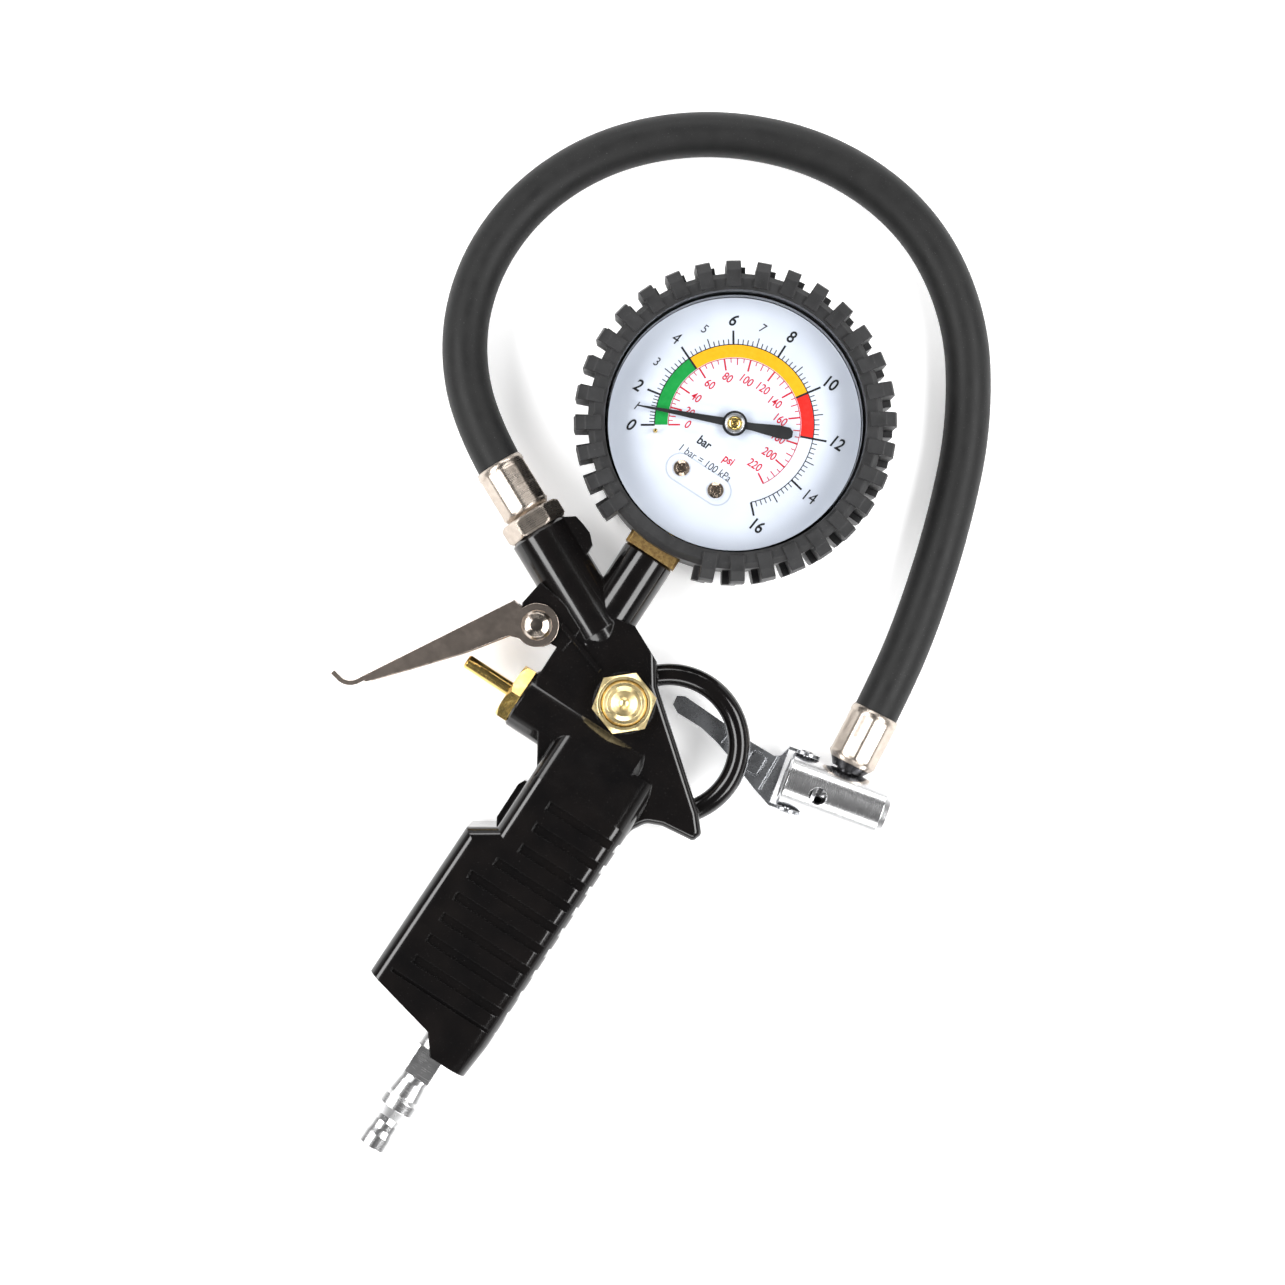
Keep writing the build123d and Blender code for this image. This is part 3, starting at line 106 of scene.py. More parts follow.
def mesh_from(bm, name, smooth=False):
    """Merges doubled corners, turns faces outward and returns the bmesh as a mesh."""
    bmesh.ops.remove_doubles(bm, verts=bm.verts, dist=1e-7)
    bmesh.ops.recalc_face_normals(bm, faces=bm.faces)
    for face in bm.faces:
        face.smooth = smooth
    mesh = bpy.data.meshes.new(name)
    bm.to_mesh(mesh)
    bm.free()
    return mesh


LATHE_STEPS = 96                       # faces round a turned mesh


def lathe(name, profile, centre):
    """Mesh turned round a vertical axis through centre, from (radius, height) corners."""
    bm = bmesh.new()
    rings = []
    for radius, height in profile:
        if radius == 0:
            rings.append([bm.verts.new((centre[0], centre[1], height))])
            continue
        rings.append([bm.verts.new((centre[0] + radius * cos(2 * pi * step / LATHE_STEPS),
                                    centre[1] + radius * sin(2 * pi * step / LATHE_STEPS), height))
                      for step in range(LATHE_STEPS)])
    for lower, upper in zip(rings, rings[1:] + rings[:1]):
        if len(lower) == 1 and len(upper) == 1:
            continue
        for step in range(LATHE_STEPS):
            after = (step + 1) % LATHE_STEPS
            corners = [lower[step % len(lower)], lower[after % len(lower)],
                       upper[after % len(upper)], upper[step % len(upper)]]
            bm.faces.new(list(dict.fromkeys(corners)))
    return mesh_from(bm, name, smooth=True)


# ---- materials -------------------------------------------------------------------------------
# Colours are linear red, green and blue.
class Finish:
    """A procedural material round one Principled shader. Its textures are in metres."""

    def __init__(self, name, metallic=0.0, **constants):
        self.material = bpy.data.materials.new(name)
        self.material.use_nodes = True
        self.tree = self.material.node_tree
        self.shader = self.tree.nodes["Principled BSDF"]
        self.shader.inputs["Metallic"].default_value = metallic
        for socket, value in constants.items():
            self.shader.inputs[socket.replace("_", " ")].default_value = value
        self.place = self.node("ShaderNodeTexCoord").outputs["Object"]

    def node(self, kind, **settings):
        made = self.tree.nodes.new(kind)
        for key, value in settings.items():
            setattr(made, key, value)
        return made

    def feed(self, socket, value):
        """Links a socket to an output, or sets it to a constant."""
        if isinstance(value, bpy.types.NodeSocket):
            self.tree.links.new(value, socket)
        else:
            socket.default_value = value

    def maths(self, kind, first, second):
        made = self.node("ShaderNodeMath", operation=kind)
        self.feed(made.inputs[0], first)
        self.feed(made.inputs[1], second)
        return made.outputs[0]

    def vector(self, kind, first, second=(0, 0, 0), out="Vector"):
        made = self.node("ShaderNodeVectorMath", operation=kind)
        self.feed(made.inputs[0], first)
        self.feed(made.inputs[1], second)
        return made.outputs[out]

    def noise(self, size, detail, rough=0.5):
        """Noise whose lumps are about size metres across."""
        made = self.node("ShaderNodeTexNoise")
        self.feed(made.inputs["Vector"], self.place)
        self.feed(made.inputs["Scale"], 1 / size)
        self.feed(made.inputs["Detail"], detail)
        self.feed(made.inputs["Roughness"], rough)
        return made.outputs[0]

    def lines(self, distance, size):
        """Noise along one distance only, such as turning marks."""
        made = self.node("ShaderNodeTexNoise", noise_dimensions="1D")
        self.feed(made.inputs["W"], distance)
        self.feed(made.inputs["Scale"], 1 / size)
        self.feed(made.inputs["Detail"], 2.0)
        return made.outputs[0]

    def along(self, axis):
        """Distance along an axis."""
        return self.vector("DOT_PRODUCT", self.place, tuple(axis), out="Value")

    def round(self, centre):
        """Distance from a vertical axis."""
        offset = self.vector("SUBTRACT", self.place, tuple(centre))
        return self.vector("LENGTH", self.vector("MULTIPLY", offset, (1, 1, 0)), out="Value")

    def spread(self, factor, low, high, start=0.3, end=0.7):
        """Maps a noise between two values."""
        made = self.node("ShaderNodeMapRange")
        self.feed(made.inputs["Value"], factor)
        for socket, value in (("From Min", start), ("From Max", end),
                              ("To Min", low), ("To Max", high)):
            self.feed(made.inputs[socket], value)
        return made.outputs["Result"]

    def blend(self, factor, first, second):
        """Colour between two colours; the mix node keeps them in inputs 6 and 7 and output 2."""
        made = self.node("ShaderNodeMix", data_type="RGBA")
        self.feed(made.inputs["Factor"], factor)
        for index, value in ((6, first), (7, second)):
            linked = isinstance(value, bpy.types.NodeSocket)
            self.feed(made.inputs[index], value if linked else (*value, 1))
        return made.outputs[2]

    def colour(self, value):
        self.feed(self.shader.inputs["Base Color"], value)

    def roughness(self, value):
        self.feed(self.shader.inputs["Roughness"], value)

    def relief(self, *layers, rounding=0.0):
        """Bump layers of (height, depth in metres), over edges rounded by some metres."""
        normal = None
        if rounding:
            edge = self.node("ShaderNodeBevel", samples=6)
            self.feed(edge.inputs["Radius"], rounding)
            normal = edge.outputs["Normal"]
        for height, depth in layers:
            made = self.node("ShaderNodeBump")
            self.feed(made.inputs["Strength"], 1.0)
            self.feed(made.inputs["Distance"], depth)
            self.feed(made.inputs["Height"], height)
            if normal:
                self.feed(made.inputs["Normal"], normal)
            normal = made.outputs["Normal"]
        self.feed(self.shader.inputs["Normal"], normal)


def enamel():
    """Glossy black paint over a die casting: orange peel, soft waves and a little dust."""
    finish = Finish("enamel", Specular_IOR_Level=0.28, Coat_Weight=0.35, Coat_Roughness=0.04)
    tone = finish.noise(9 * MM, detail=5)
    dust = finish.spread(finish.noise(0.25 * MM, detail=2), 0.0, 1.0, start=0.70, end=0.78)
    base = finish.blend(finish.spread(tone, 0, 1),
                        (0.0032, 0.0030, 0.0032), (0.0062, 0.0052, 0.0050))
    finish.colour(finish.blend(dust, base, (0.05, 0.047, 0.045)))
    finish.roughness(finish.spread(finish.noise(4 * MM, detail=6), 0.12, 0.19))
    finish.relief((finish.noise(6 * MM, detail=2), 0.025 * MM),
                  (finish.noise(0.8 * MM, detail=2), 0.003 * MM), rounding=0.45 * MM)
    return finish.material


def turned_metal(name, bright, dull, low, high, axis=None, centre=None, rounding=0.2 * MM):
    """Plated or polished metal with turning marks along an axis or round a vertical one."""
    finish = Finish(name, metallic=1.0)
    distance = finish.along(axis) if axis is not None else finish.round(centre)
    marks = finish.lines(distance, 0.12 * MM)
    patches = finish.noise(2.2 * MM, detail=4)
    finish.colour(finish.blend(finish.spread(patches, 0, 1, 0.25, 0.8), bright, dull))
    finish.roughness(finish.maths("ADD", finish.spread(patches, low, high),
                                  finish.spread(marks, -0.03, 0.05)))
    finish.relief((marks, 0.0015 * MM), (finish.noise(0.35 * MM, detail=2), 0.0006 * MM),
                  rounding=rounding)
    return finish.material


def pressed_metal(name, bright, dull, low, high, grain=0.6 * MM, depth=0.0015 * MM,
                  rounding=0.25 * MM):
    """Plated sheet or cast metal with a fine tumbled grain and soft stains."""
    finish = Finish(name, metallic=1.0)
    patches = finish.noise(3.5 * MM, detail=6, rough=0.6)
    speckle = finish.noise(grain, detail=4, rough=0.6)
    finish.colour(finish.blend(finish.spread(patches, 0, 1), bright, dull))
    finish.roughness(finish.maths("ADD", finish.spread(patches, low, high),
                                  finish.spread(speckle, -0.01, 0.02)))
    finish.relief((speckle, depth), rounding=rounding)
    return finish.material


def raw_brass():
    """Forged brass that nobody polished: brown stains over yellow metal, and a rough skin."""
    finish = Finish("raw_brass", metallic=1.0)
    stains = finish.noise(1.3 * MM, detail=6, rough=0.65)
    pits = finish.noise(0.35 * MM, detail=3)
    warm = finish.blend(finish.spread(stains, 0, 1, 0.4, 0.62),
                        (0.50, 0.34, 0.13), (0.20, 0.12, 0.05))
    finish.colour(finish.blend(finish.spread(pits, 0, 0.5, 0.55, 0.75), warm, (0.12, 0.075, 0.04)))
    finish.roughness(finish.spread(stains, 0.32, 0.55))
    finish.relief((stains, 0.05 * MM), (pits, 0.02 * MM), rounding=0.4 * MM)
    return finish.material


def moulded_rubber(name, dark, light, low, high, grain, depth, rounding, gloss=0.4):
    """Moulded rubber: a fine skin, faint bloom and lint."""
    finish = Finish(name, Specular_IOR_Level=gloss)
    bloom = finish.noise(5 * MM, detail=6, rough=0.6)
    skin = finish.noise(grain, detail=4, rough=0.6)
    lint = finish.spread(finish.noise(0.3 * MM, detail=2), 0, 1, 0.69, 0.76)
    base = finish.blend(finish.spread(bloom, 0, 1), dark, light)
    finish.colour(finish.blend(finish.maths("MULTIPLY", lint, 0.5), base, (0.11, 0.11, 0.11)))
    finish.roughness(finish.spread(bloom, low, high))
    finish.relief((skin, depth), (finish.noise(2.5 * MM, detail=2), depth), rounding=rounding)
    return finish.material


def paint(name, dark, light, low, high):
    """Thin even paint on sheet metal."""
    finish = Finish(name)
    patches = finish.noise(6 * MM, detail=4)
    finish.colour(finish.blend(finish.spread(patches, 0, 1), dark, light))
    finish.roughness(finish.spread(patches, low, high))
    finish.relief((finish.noise(0.5 * MM, detail=3), 0.003 * MM), rounding=0.1 * MM)
    return finish.material


def clear_lens():
    """Clear moulded plastic: see-through, with its gloss by Fresnel and faint wipe marks."""
    finish = Finish("lens_clear")
    wipes = finish.noise(1.5 * MM, detail=5)
    tree = finish.tree
    gloss = finish.node("ShaderNodeBsdfGlossy")
    finish.feed(gloss.inputs["Roughness"], finish.spread(wipes, 0.02, 0.07))
    clear = finish.node("ShaderNodeBsdfTransparent")
    clear.inputs["Color"].default_value = (0.955, 0.965, 0.975, 1)
    fresnel = finish.node("ShaderNodeFresnel")
    fresnel.inputs["IOR"].default_value = 1.46
    # gloss only on the way in, because the shader doesn't bend the light inside
    geometry = finish.node("ShaderNodeNewGeometry")
    outer_face = finish.maths("SUBTRACT", 1.0, geometry.outputs["Backfacing"])
    mix = finish.node("ShaderNodeMixShader")
    tree.links.new(finish.maths("MULTIPLY", fresnel.outputs[0], outer_face), mix.inputs[0])
    tree.links.new(clear.outputs[0], mix.inputs[1])
    tree.links.new(gloss.outputs[0], mix.inputs[2])
    tree.links.new(mix.outputs[0], tree.nodes["Material Output"].inputs["Surface"])
    tree.nodes.remove(finish.shader)
    return finish.material


WARM_NICKEL = ((0.52, 0.46, 0.40), (0.42, 0.36, 0.31))
BRASS = ((0.88, 0.66, 0.24), (0.74, 0.50, 0.15))
STEEL = ((0.60, 0.60, 0.61), (0.42, 0.42, 0.43))
NICKEL_EDGE = 0.9 * MM                 # rounding of the hexagons' and ferrules' edges
slot_finish = {
    "body_paint": enamel(),
    "nickel": turned_metal("nickel", *WARM_NICKEL, 0.24, 0.30, axis=BOSS_AXIS, rounding=NICKEL_EDGE),
    "plug_nickel": turned_metal("plug_nickel", (0.92, 0.92, 0.93), (0.86, 0.86, 0.86), 0.20, 0.24,
                                axis=(0, 1, 0)),
    "brass": turned_metal("brass", *BRASS, 0.14, 0.24, axis=(1, 0, 0)),
    "raw_brass": raw_brass(),
    "boot_rubber": moulded_rubber("boot_rubber", (0.011, 0.011, 0.0115), (0.021, 0.021, 0.022),
                                  0.40, 0.54, grain=0.35 * MM, depth=0.02 * MM,
                                  rounding=0.5 * MM, gloss=0.35),
    "hose_rubber": moulded_rubber("hose_rubber", (0.0065, 0.0065, 0.0067), (0.011, 0.011, 0.011),
                                  0.48, 0.60, grain=0.5 * MM, depth=0.008 * MM,
                                  rounding=0.0, gloss=0.28),
    "seal_rubber": moulded_rubber("seal_rubber", (0.012, 0.012, 0.012), (0.02, 0.02, 0.02),
                                  0.5, 0.6, grain=0.3 * MM, depth=0.01 * MM, rounding=0.2 * MM),
    "lens_clear": clear_lens(),
    "dial_white": paint("dial_white", (0.72, 0.75, 0.83), (0.76, 0.79, 0.86), 0.42, 0.50),
    "pointer_black": paint("pointer_black", (0.006, 0.006, 0.006), (0.010, 0.010, 0.010),
                           0.38, 0.5),
    "steel": pressed_metal("steel", *STEEL, 0.22, 0.34),
    "lever_grey": pressed_metal("lever_grey", (0.42, 0.43, 0.45), (0.35, 0.36, 0.38), 0.24, 0.30),
    "trigger_nickel": pressed_metal("trigger_nickel", (0.74, 0.63, 0.55), (0.64, 0.54, 0.47),
                                    0.20, 0.24, grain=1.2 * MM, depth=0.001 * MM),
    "chuck_chrome": turned_metal("chuck_chrome", (0.90, 0.90, 0.91), (0.84, 0.84, 0.85),
                                 0.21, 0.24, axis=BARREL_AXIS),
    "case_steel": paint("case_steel", (0.010, 0.010, 0.010), (0.015, 0.015, 0.015), 0.3, 0.45),
    "neck_black": turned_metal("neck_black", (0.045, 0.045, 0.048), (0.02, 0.02, 0.02),
                               0.25, 0.4, axis=NECK_AXIS),
}
for subpart in frame["record"]["subparts"]:
    nodes[subpart["node"]].data.materials.clear()
    nodes[subpart["node"]].data.materials.append(slot_finish[subpart["material_slot"]])


def refinish(finish, *names):
    """Gives CAD nodes a finish of their own, such as turning marks in another direction."""
    for name in names:
        nodes[name].data.materials[0] = finish


refinish(turned_metal("nickel_neck", *WARM_NICKEL, 0.24, 0.30, axis=NECK_AXIS, rounding=NICKEL_EDGE),
         "hose_ferrule_far")
refinish(turned_metal("brass_bleed", (0.90, 0.74, 0.40), (0.80, 0.62, 0.30), 0.24, 0.34, centre=BLEED),
         "bleed_nut", "bleed_button")
refinish(pressed_metal("screw_bronze", (0.66, 0.52, 0.40), (0.46, 0.34, 0.25), 0.18, 0.28,
                       rounding=0.06 * MM),
         "dial_screws")
refinish(pressed_metal("rivet_nickel", *WARM_NICKEL, 0.14, 0.24, grain=0.9 * MM, depth=0.002 * MM),
         "trigger_rivet")

# ---- hose ------------------------------------------------------------------------------------
HOSE_RADIUS = 5.7 * MM
HOSE_ROUTE = [                         # millimetres, from the gun's ferrule to the chuck's
    (-37.0, 36.15, 14.0), (-53.5, 44.0, 14.0), (-69.2, 60.2, 11.2), (-76.4, 81.0, 8.0),
    (-74.4, 103.6, 6.4), (-63.2, 124.8, 6.0), (-43.0, 141.8, 6.0), (-16.6, 151.3, 6.0),
    (11.0, 149.6, 6.0), (34.2, 135.6, 6.0), (49.6, 113.4, 6.0), (58.9, 89.4, 6.0),
    (65.3, 66.4, 6.2), (68.7, 47.9, 7.0), (70.36, 31.4, 7.0),
]
hose_curve = bpy.data.curves.new("rubber_hose", "CURVE")
hose_curve.dimensions = "3D"
hose_spline = hose_curve.splines.new("NURBS")
hose_spline.points.add(len(HOSE_ROUTE) - 1)
for point, place in zip(hose_spline.points, HOSE_ROUTE):
    point.co = (*(value * MM for value in place), 1)
hose_spline.order_u = 3
hose_spline.use_endpoint_u = True
hose_curve.resolution_u = 24
hose_curve.bevel_depth = HOSE_RADIUS
hose_curve.bevel_resolution = 12
hose_curve.use_fill_caps = True
hose = add_piece("rubber_hose", hose_curve, "tool", slot_finish["hose_rubber"])
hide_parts("hose")

# ---- dial print ------------------------------------------------------------------------------
PRINT = 0.03 * MM                      # thickness of the printed marks
BAND = (16.5 * MM, 19.7 * MM)          # inner and outer radius of the coloured band
BAND_COLOURS = (("green", 0, 4, (0.0, 0.28, 0.04)),          # from and to in bar
                ("yellow", 4, 10, (0.90, 0.42, 0.0)),
                ("red", 10, 12, (0.78, 0.015, 0.008)))
BAND_MARKS = (4, 10, 12)               # bar whose marks cross the band
BAR_LINE = (BAND[1] - 0.12 * MM, BAND[1] + 0.10 * MM)        # arc that carries the bar marks
PSI_LINE = (BAND[0] - 0.30 * MM, BAND[0] - 0.12 * MM)        # arc that carries the psi marks
PSI_MARK_END = BAND[0] - 0.2 * MM
BAR_NUMBERS = 25.6 * MM                # radius of the even bar numbers
SMALL_NUMBERS = 24.6 * MM              # radius of the odd bar numbers
PSI_NUMBERS = 11.6 * MM                # radius of the psi numbers below 100
LONG_PSI_NUMBERS = 11.2 * MM           # radius of the psi numbers from 100 up
FULL_SCALE = 16                        # bar
FULL_PSI = 220
BAR_IN_PSI = 14.504
FIRST_MARK = -123.5                    # direction of 0 bar, in degrees clockwise from +Y
SECOND_BAR = -101.25                   # direction of 2 bar
DEGREES_PER_BAR = 16.875               # above 2 bar
CAPITAL = 0.72                         # height of a capital letter at font size 1
SLANT = 0.12


def dial_direction(bar):
    """Direction of a pressure on the dial, in radians from +X; the scale is closer below 2 bar."""
    if bar < 2:
        clockwise = FIRST_MARK + (SECOND_BAR - FIRST_MARK) * bar / 2
    else:
        clockwise = SECOND_BAR + (bar - 2) * DEGREES_PER_BAR
    return radians(90 - clockwise)


def dial_point(radius, direction, side=0.0):
    """Point on the dial at a radius and a direction, moved sideways by some metres."""
    return (GAUGE.x + radius * cos(direction) - side * sin(direction),
            GAUGE.y + radius * sin(direction) + side * cos(direction))


def plate(bm, outline, low, thickness):
    """Adds a flat closed plate with the given outline to a bmesh."""
    lower = [bm.verts.new((x, y, low)) for x, y in outline]
    upper = [bm.verts.new((x, y, low + thickness)) for x, y in outline]
    bm.faces.new(list(reversed(lower)))
    bm.faces.new(upper)
    for index in range(len(outline)):
        after = (index + 1) % len(outline)
        bm.faces.new((lower[index], lower[after], upper[after], upper[index]))


def arc_strip(bm, inner, outer, start, end, low, thickness, steps=48):
    """Adds a strip of a ring between two directions, as short plates that share their corners."""
    for step in range(steps):
        here = start + (end - start) * step / steps
        there = start + (end - start) * (step + 1) / steps
        plate(bm, [dial_point(inner, here), dial_point(outer, here), dial_point(outer, there),
                   dial_point(inner, there)], low, thickness)


def tick(bm, bar, inner, outer, width):
    """Adds a mark of the scale at a pressure, between two radii, to a bmesh."""
    direction = dial_direction(bar)
    plate(bm, [dial_point(inner, direction, -width / 2), dial_point(outer, direction, -width / 2),
               dial_point(outer, direction, width / 2), dial_point(inner, direction, width / 2)],
          DIAL_TOP + PRINT, PRINT)


def lettering(bm, text, height, x, y, weight=0.0, squeeze=0.84):
    """Adds a word or number, upright on the dial and centred on a point, to a bmesh.

    The weight is the outline's growth in metres and squeeze is the width for a height of 1.
    """
    font = bpy.data.curves.new("lettering", "FONT")
    font.body = text
    font.size = height / CAPITAL
    font.align_x = "CENTER"
    font.align_y = "CENTER"
    font.extrude = PRINT / 2
    font.offset = weight
    font.shear = SLANT
    holder = bpy.data.objects.new("lettering", font)
    bpy.context.scene.collection.objects.link(holder)
    solid = holder.evaluated_get(bpy.context.evaluated_depsgraph_get())
    mesh = bpy.data.meshes.new_from_object(solid)
    place = Matrix.Translation((x, y, DIAL_TOP + 1.5 * PRINT))
    mesh.transform(place @ Matrix.Diagonal((squeeze, 1, 1, 1)))
    bm.from_mesh(mesh)
    bpy.data.objects.remove(holder)
    bpy.data.curves.remove(font)
    bpy.data.meshes.remove(mesh)


def ink(name, colour):
    """Screen-printed ink: slightly uneven, a little glossier than the dial."""
    finish = Finish(name)
    patches = finish.noise(0.8 * MM, detail=4)
    lighter = tuple(min(1.0, value * 1.12 + 0.004) for value in colour)
    finish.colour(finish.blend(finish.spread(patches, 0, 1), colour, lighter))
    finish.roughness(finish.spread(patches, 0.34, 0.44))
    return finish.material


black_ink = ink("black_ink", (0.010, 0.010, 0.012))
grey_ink = ink("grey_ink", (0.035, 0.035, 0.04))
red_ink = ink("red_ink", (0.58, 0.012, 0.03))
for name, start, end, colour in BAND_COLOURS:
    band = bmesh.new()
    arc_strip(band, *BAND, dial_direction(start), dial_direction(end), DIAL_TOP, PRINT)
    add_piece("dial_band_" + name, mesh_from(band, name), "tool",
              ink("ink_" + name, colour))

black_marks = bmesh.new()
arc_strip(black_marks, *BAR_LINE, dial_direction(0), dial_direction(FULL_SCALE),
          DIAL_TOP + PRINT, PRINT, steps=120)
for fifth in range(5 * FULL_SCALE + 1):
    bar = fifth / 5
    if bar % 2 == 0:
        tick(black_marks, bar, BAND[0] if bar in BAND_MARKS else BAND[1], 23.1 * MM, 0.50 * MM)
    elif bar % 1 == 0:
        tick(black_marks, bar, BAND[1], 22.0 * MM, 0.26 * MM)
    else:
        tick(black_marks, bar, BAND[1], 21.0 * MM, 0.22 * MM)
for bar in range(0, FULL_SCALE + 1, 2):
    # a heavier outline closes up the font's 4
    lettering(black_marks, str(bar), 3.1 * MM, *dial_point(BAR_NUMBERS, dial_direction(bar)),
              weight=(0.0 if "4" in str(bar) else 0.08) * MM)
lettering(black_marks, "bar", 2.3 * MM, GAUGE.x - 3.8 * MM, GAUGE.y - 7.9 * MM, weight=0.07 * MM)
add_piece("dial_marks_black", mesh_from(black_marks, "dial_marks_black"), "tool",
          black_ink)

grey_marks = bmesh.new()
for bar in (1, 3, 5, 7):
    lettering(grey_marks, str(bar), 2.3 * MM, *dial_point(SMALL_NUMBERS, dial_direction(bar)),
              weight=0.01 * MM)
lettering(grey_marks, "1 bar = 100 kPa", 2.0 * MM, GAUGE.x - 1.0 * MM, GAUGE.y - 12.0 * MM)
add_piece("dial_marks_grey", mesh_from(grey_marks, "dial_marks_grey"), "tool", grey_ink)

red_marks = bmesh.new()
arc_strip(red_marks, *PSI_LINE, dial_direction(0), dial_direction(FULL_PSI / BAR_IN_PSI),
          DIAL_TOP + PRINT, PRINT, steps=120)
for psi in range(0, FULL_PSI + 1, 5):
    if psi % 20 == 0:
        tick(red_marks, psi / BAR_IN_PSI, 13.4 * MM, PSI_MARK_END, 0.42 * MM)
    elif psi % 10 == 0:
        tick(red_marks, psi / BAR_IN_PSI, 14.6 * MM, PSI_MARK_END, 0.26 * MM)
    else:
        tick(red_marks, psi / BAR_IN_PSI, 15.2 * MM, PSI_MARK_END, 0.22 * MM)
for psi in range(0, FULL_PSI + 1, 20):
    radius = PSI_NUMBERS if psi < 100 else LONG_PSI_NUMBERS
    lettering(red_marks, str(psi), 2.15 * MM, *dial_point(radius, dial_direction(psi / BAR_IN_PSI)),
              weight=0.04 * MM, squeeze=0.8)
lettering(red_marks, "psi", 2.1 * MM, GAUGE.x + 3.6 * MM, GAUGE.y - 8.2 * MM, weight=0.06 * MM)
add_piece("dial_marks_red", mesh_from(red_marks, "dial_marks_red"), "tool", red_ink)

# low pressed rim round the two dial screws, painted a darker grey than the dial as painted shade along
# the rim
screws_low, screws_high = (Vector(corner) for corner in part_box("dial_screws"))
SCREW_RIM = (3.3 * MM, 3.65 * MM)      # inner and outer distance of the rim from the screws' line
SCREW_INSET = 1.6 * MM                 # from an end of the screws' box to the end of their line
RIM_STEPS = 98                         # plates round the rim; two of them are its straight sides
screws_y = (screws_low.y + screws_high.y) / 2
screw_line = [Vector((screws_low.x + SCREW_INSET, screws_y, 0)),
              Vector((screws_high.x - SCREW_INSET, screws_y, 0))]


def rim_point(step, distance):
    """Point round the two screws at a distance from the line between them."""
    turn = 2 * pi * step / RIM_STEPS
    end = screw_line[1] if cos(turn) > 0 else screw_line[0]
    return (end.x + distance * cos(turn), end.y + distance * sin(turn))


rim = bmesh.new()
for step in range(RIM_STEPS):
    here = step + 0.5
    there = step + 1.5
    plate(rim, [rim_point(here, SCREW_RIM[0]), rim_point(here, SCREW_RIM[1]),
                rim_point(there, SCREW_RIM[1]), rim_point(there, SCREW_RIM[0])],
          DIAL_TOP, 2 * PRINT)
# the rim's grey is painted shade: the pressed rim wears the dial's own white paint
add_piece("dial_screw_rim", mesh_from(rim, "dial_screw_rim"), "tool",
          paint("rim_painted_shade", (0.52, 0.55, 0.62), (0.56, 0.59, 0.66), 0.42, 0.50))

# ---- pointer hub -----------------------------------------------------------------------------
hub_top = top("pointer")
# (radius, height above the pointer) in millimetres
RING_PROFILE = ((1.75, -0.3), (2.55, -0.3), (2.5, 0.10), (2.2, 0.28), (1.75, 0.15))
BOSS_PROFILE = ((0, -0.2), (1.72, -0.2), (1.7, 0.15), (1.3, 0.42), (0.8, 0.5), (0, 0.5))


def hub_part(name, profile):
    """Mesh turned round the gauge's axis, on top of the pointer."""
    return lathe(name, [(radius * MM, hub_top + rise * MM) for radius, rise in profile], GAUGE)


add_piece("pointer_ring", hub_part("pointer_ring", RING_PROFILE), "pointer_arbor",
          slot_finish["steel"])
add_piece("pointer_boss", hub_part("pointer_boss", BOSS_PROFILE), "pointer_arbor",
          turned_metal("brass_hub", *BRASS, 0.16, 0.26, centre=GAUGE))

# ---- floor and light -------------------------------------------------------------------------
FLOOR_HALF = 3.0                       # half of the floor's width, in metres
FLOOR_GAP = 0.2 * MM                   # from the floor up to the tool's lowest point
FLOOR_GLOW = 0.40                      # keeps the white ground white in the lamps' shadows
SIDE_POWER = 13.2                      # watts
END_POWER = 6.5                        # watts
LAMP_AIM = Vector((0.01, 0.02, 0.01))  # about the middle of the tool
floor_mesh = bpy.data.meshes.new("floor")
floor_mesh.from_pydata([(-FLOOR_HALF, -FLOOR_HALF, 0), (FLOOR_HALF, -FLOOR_HALF, 0),
                        (FLOOR_HALF, FLOOR_HALF, 0), (-FLOOR_HALF, FLOOR_HALF, 0)], [], [(0, 1, 2, 3)])
floor = bpy.data.objects.new("floor", floor_mesh)
floor.location.z = -FLOOR_GAP
bpy.context.scene.collection.objects.link(floor)
floor_finish = Finish("floor")
floor_finish.colour((0.92, 0.92, 0.92, 1))
floor_finish.roughness(0.9)
floor_finish.shader.inputs["Emission Color"].default_value = (1, 1, 1, 1)
floor_finish.shader.inputs["Emission Strength"].default_value = FLOOR_GLOW
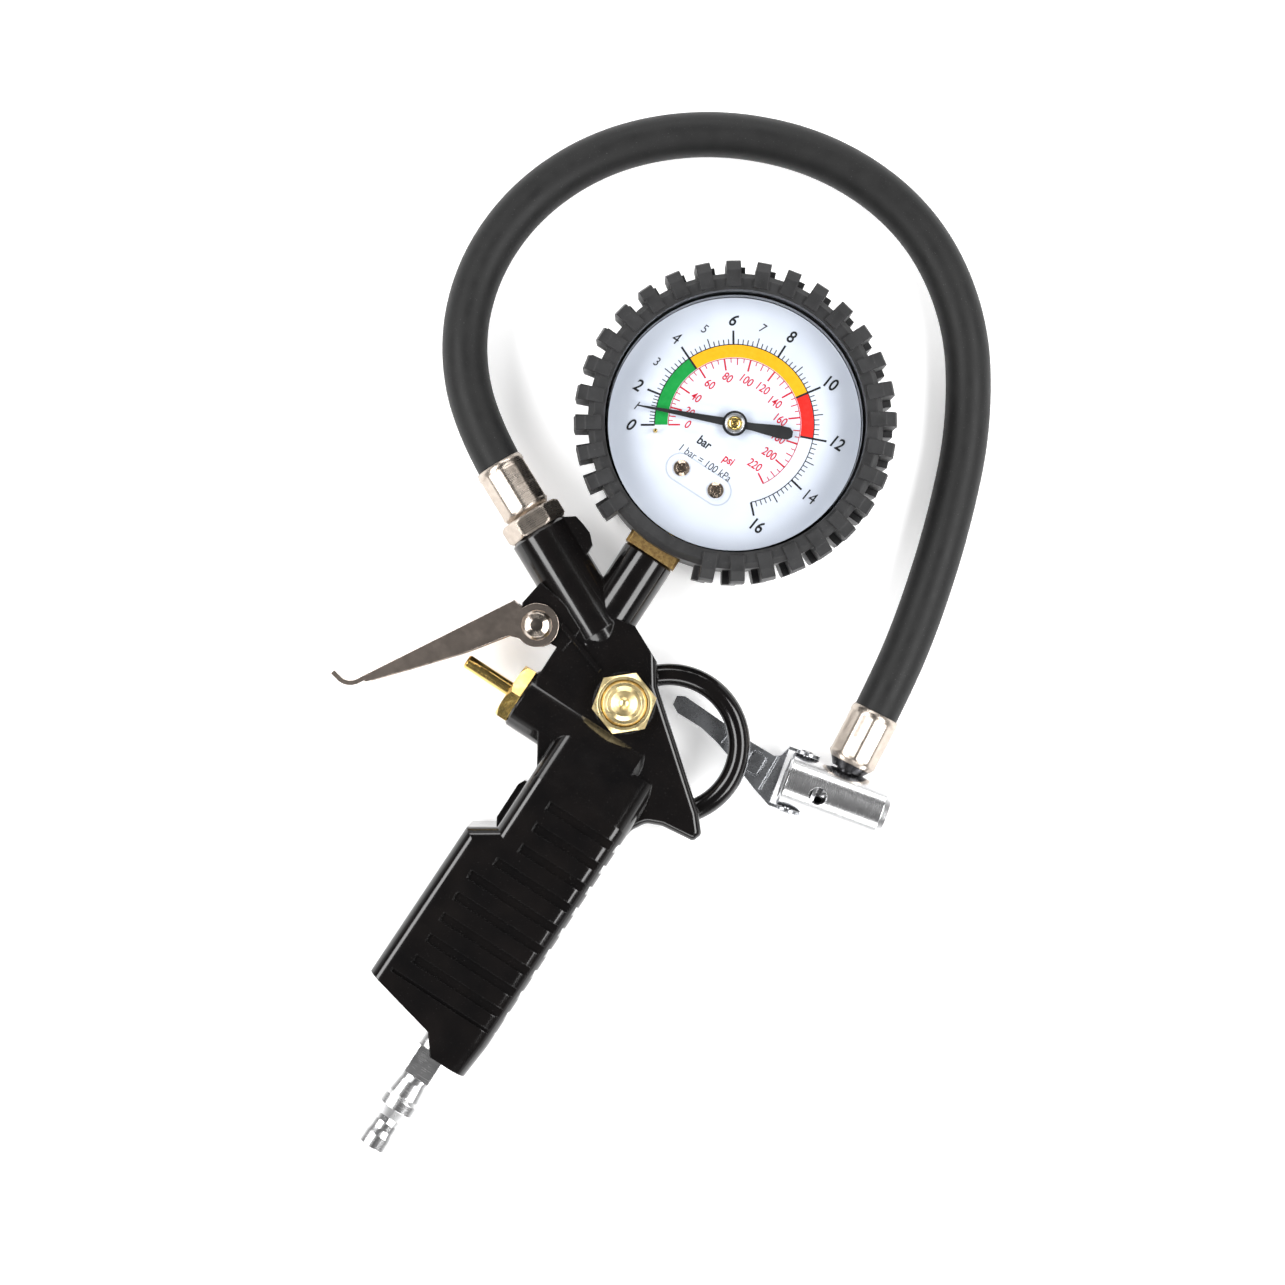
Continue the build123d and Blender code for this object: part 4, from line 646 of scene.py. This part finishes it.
floor_mesh.materials.append(floor_finish.material)


def softbox(name, place, size, power):
    """Rectangular lamp aimed at the tool, with its size in metres and its power in watts."""
    lamp = bpy.data.lights.new(name, "AREA")
    lamp.shape = "RECTANGLE"
    lamp.size, lamp.size_y = size
    lamp.energy = power
    holder = bpy.data.objects.new(name, lamp)
    holder.location = place
    toward = LAMP_AIM - Vector(place)
    holder.rotation_euler = toward.to_track_quat("-Z", "Y").to_euler()
    bpy.context.scene.collection.objects.link(holder)


def in_view(right, up, height):
    """A place given along the picture's right and up directions."""
    return (right * cos(CAMERA_TURN) - up * sin(CAMERA_TURN),
            right * sin(CAMERA_TURN) + up * cos(CAMERA_TURN), height)


softbox("left_box", in_view(-0.66, 0.10, 0.92), (1.0, 0.42), SIDE_POWER)
softbox("right_box", in_view(0.70, -0.10, 0.88), (1.0, 0.42), SIDE_POWER)
softbox("top_box", in_view(0.1, 1.10, 0.62), (1.1, 0.3), END_POWER)
softbox("front_box", in_view(0.0, -1.05, 0.70), (1.0, 0.3), END_POWER)

# white sky, bright near the horizon and dim overhead
FADE_START = 0.08                      # upward part of a direction, where the sky begins to dim
FADE_END = 0.40
SKY_LOW = 1.0                          # strength near the horizon
SKY_HIGH = 0.05                        # strength overhead
world = bpy.data.worlds.new("studio")
world.use_nodes = True
sky = world.node_tree
direction = sky.nodes.new("ShaderNodeTexCoord")
parts_of_direction = sky.nodes.new("ShaderNodeSeparateXYZ")
fade = sky.nodes.new("ShaderNodeMapRange")
for socket, value in (("From Min", FADE_START), ("From Max", FADE_END),
                      ("To Min", SKY_LOW), ("To Max", SKY_HIGH)):
    fade.inputs[socket].default_value = value
sky.nodes["Background"].inputs["Color"].default_value = (1, 1, 1, 1)
sky.links.new(direction.outputs["Generated"], parts_of_direction.inputs[0])
sky.links.new(parts_of_direction.outputs["Z"], fade.inputs["Value"])
sky.links.new(fade.outputs["Result"], sky.nodes["Background"].inputs["Strength"])
bpy.context.scene.world = world
bpy.context.scene.view_settings.view_transform = "Standard"
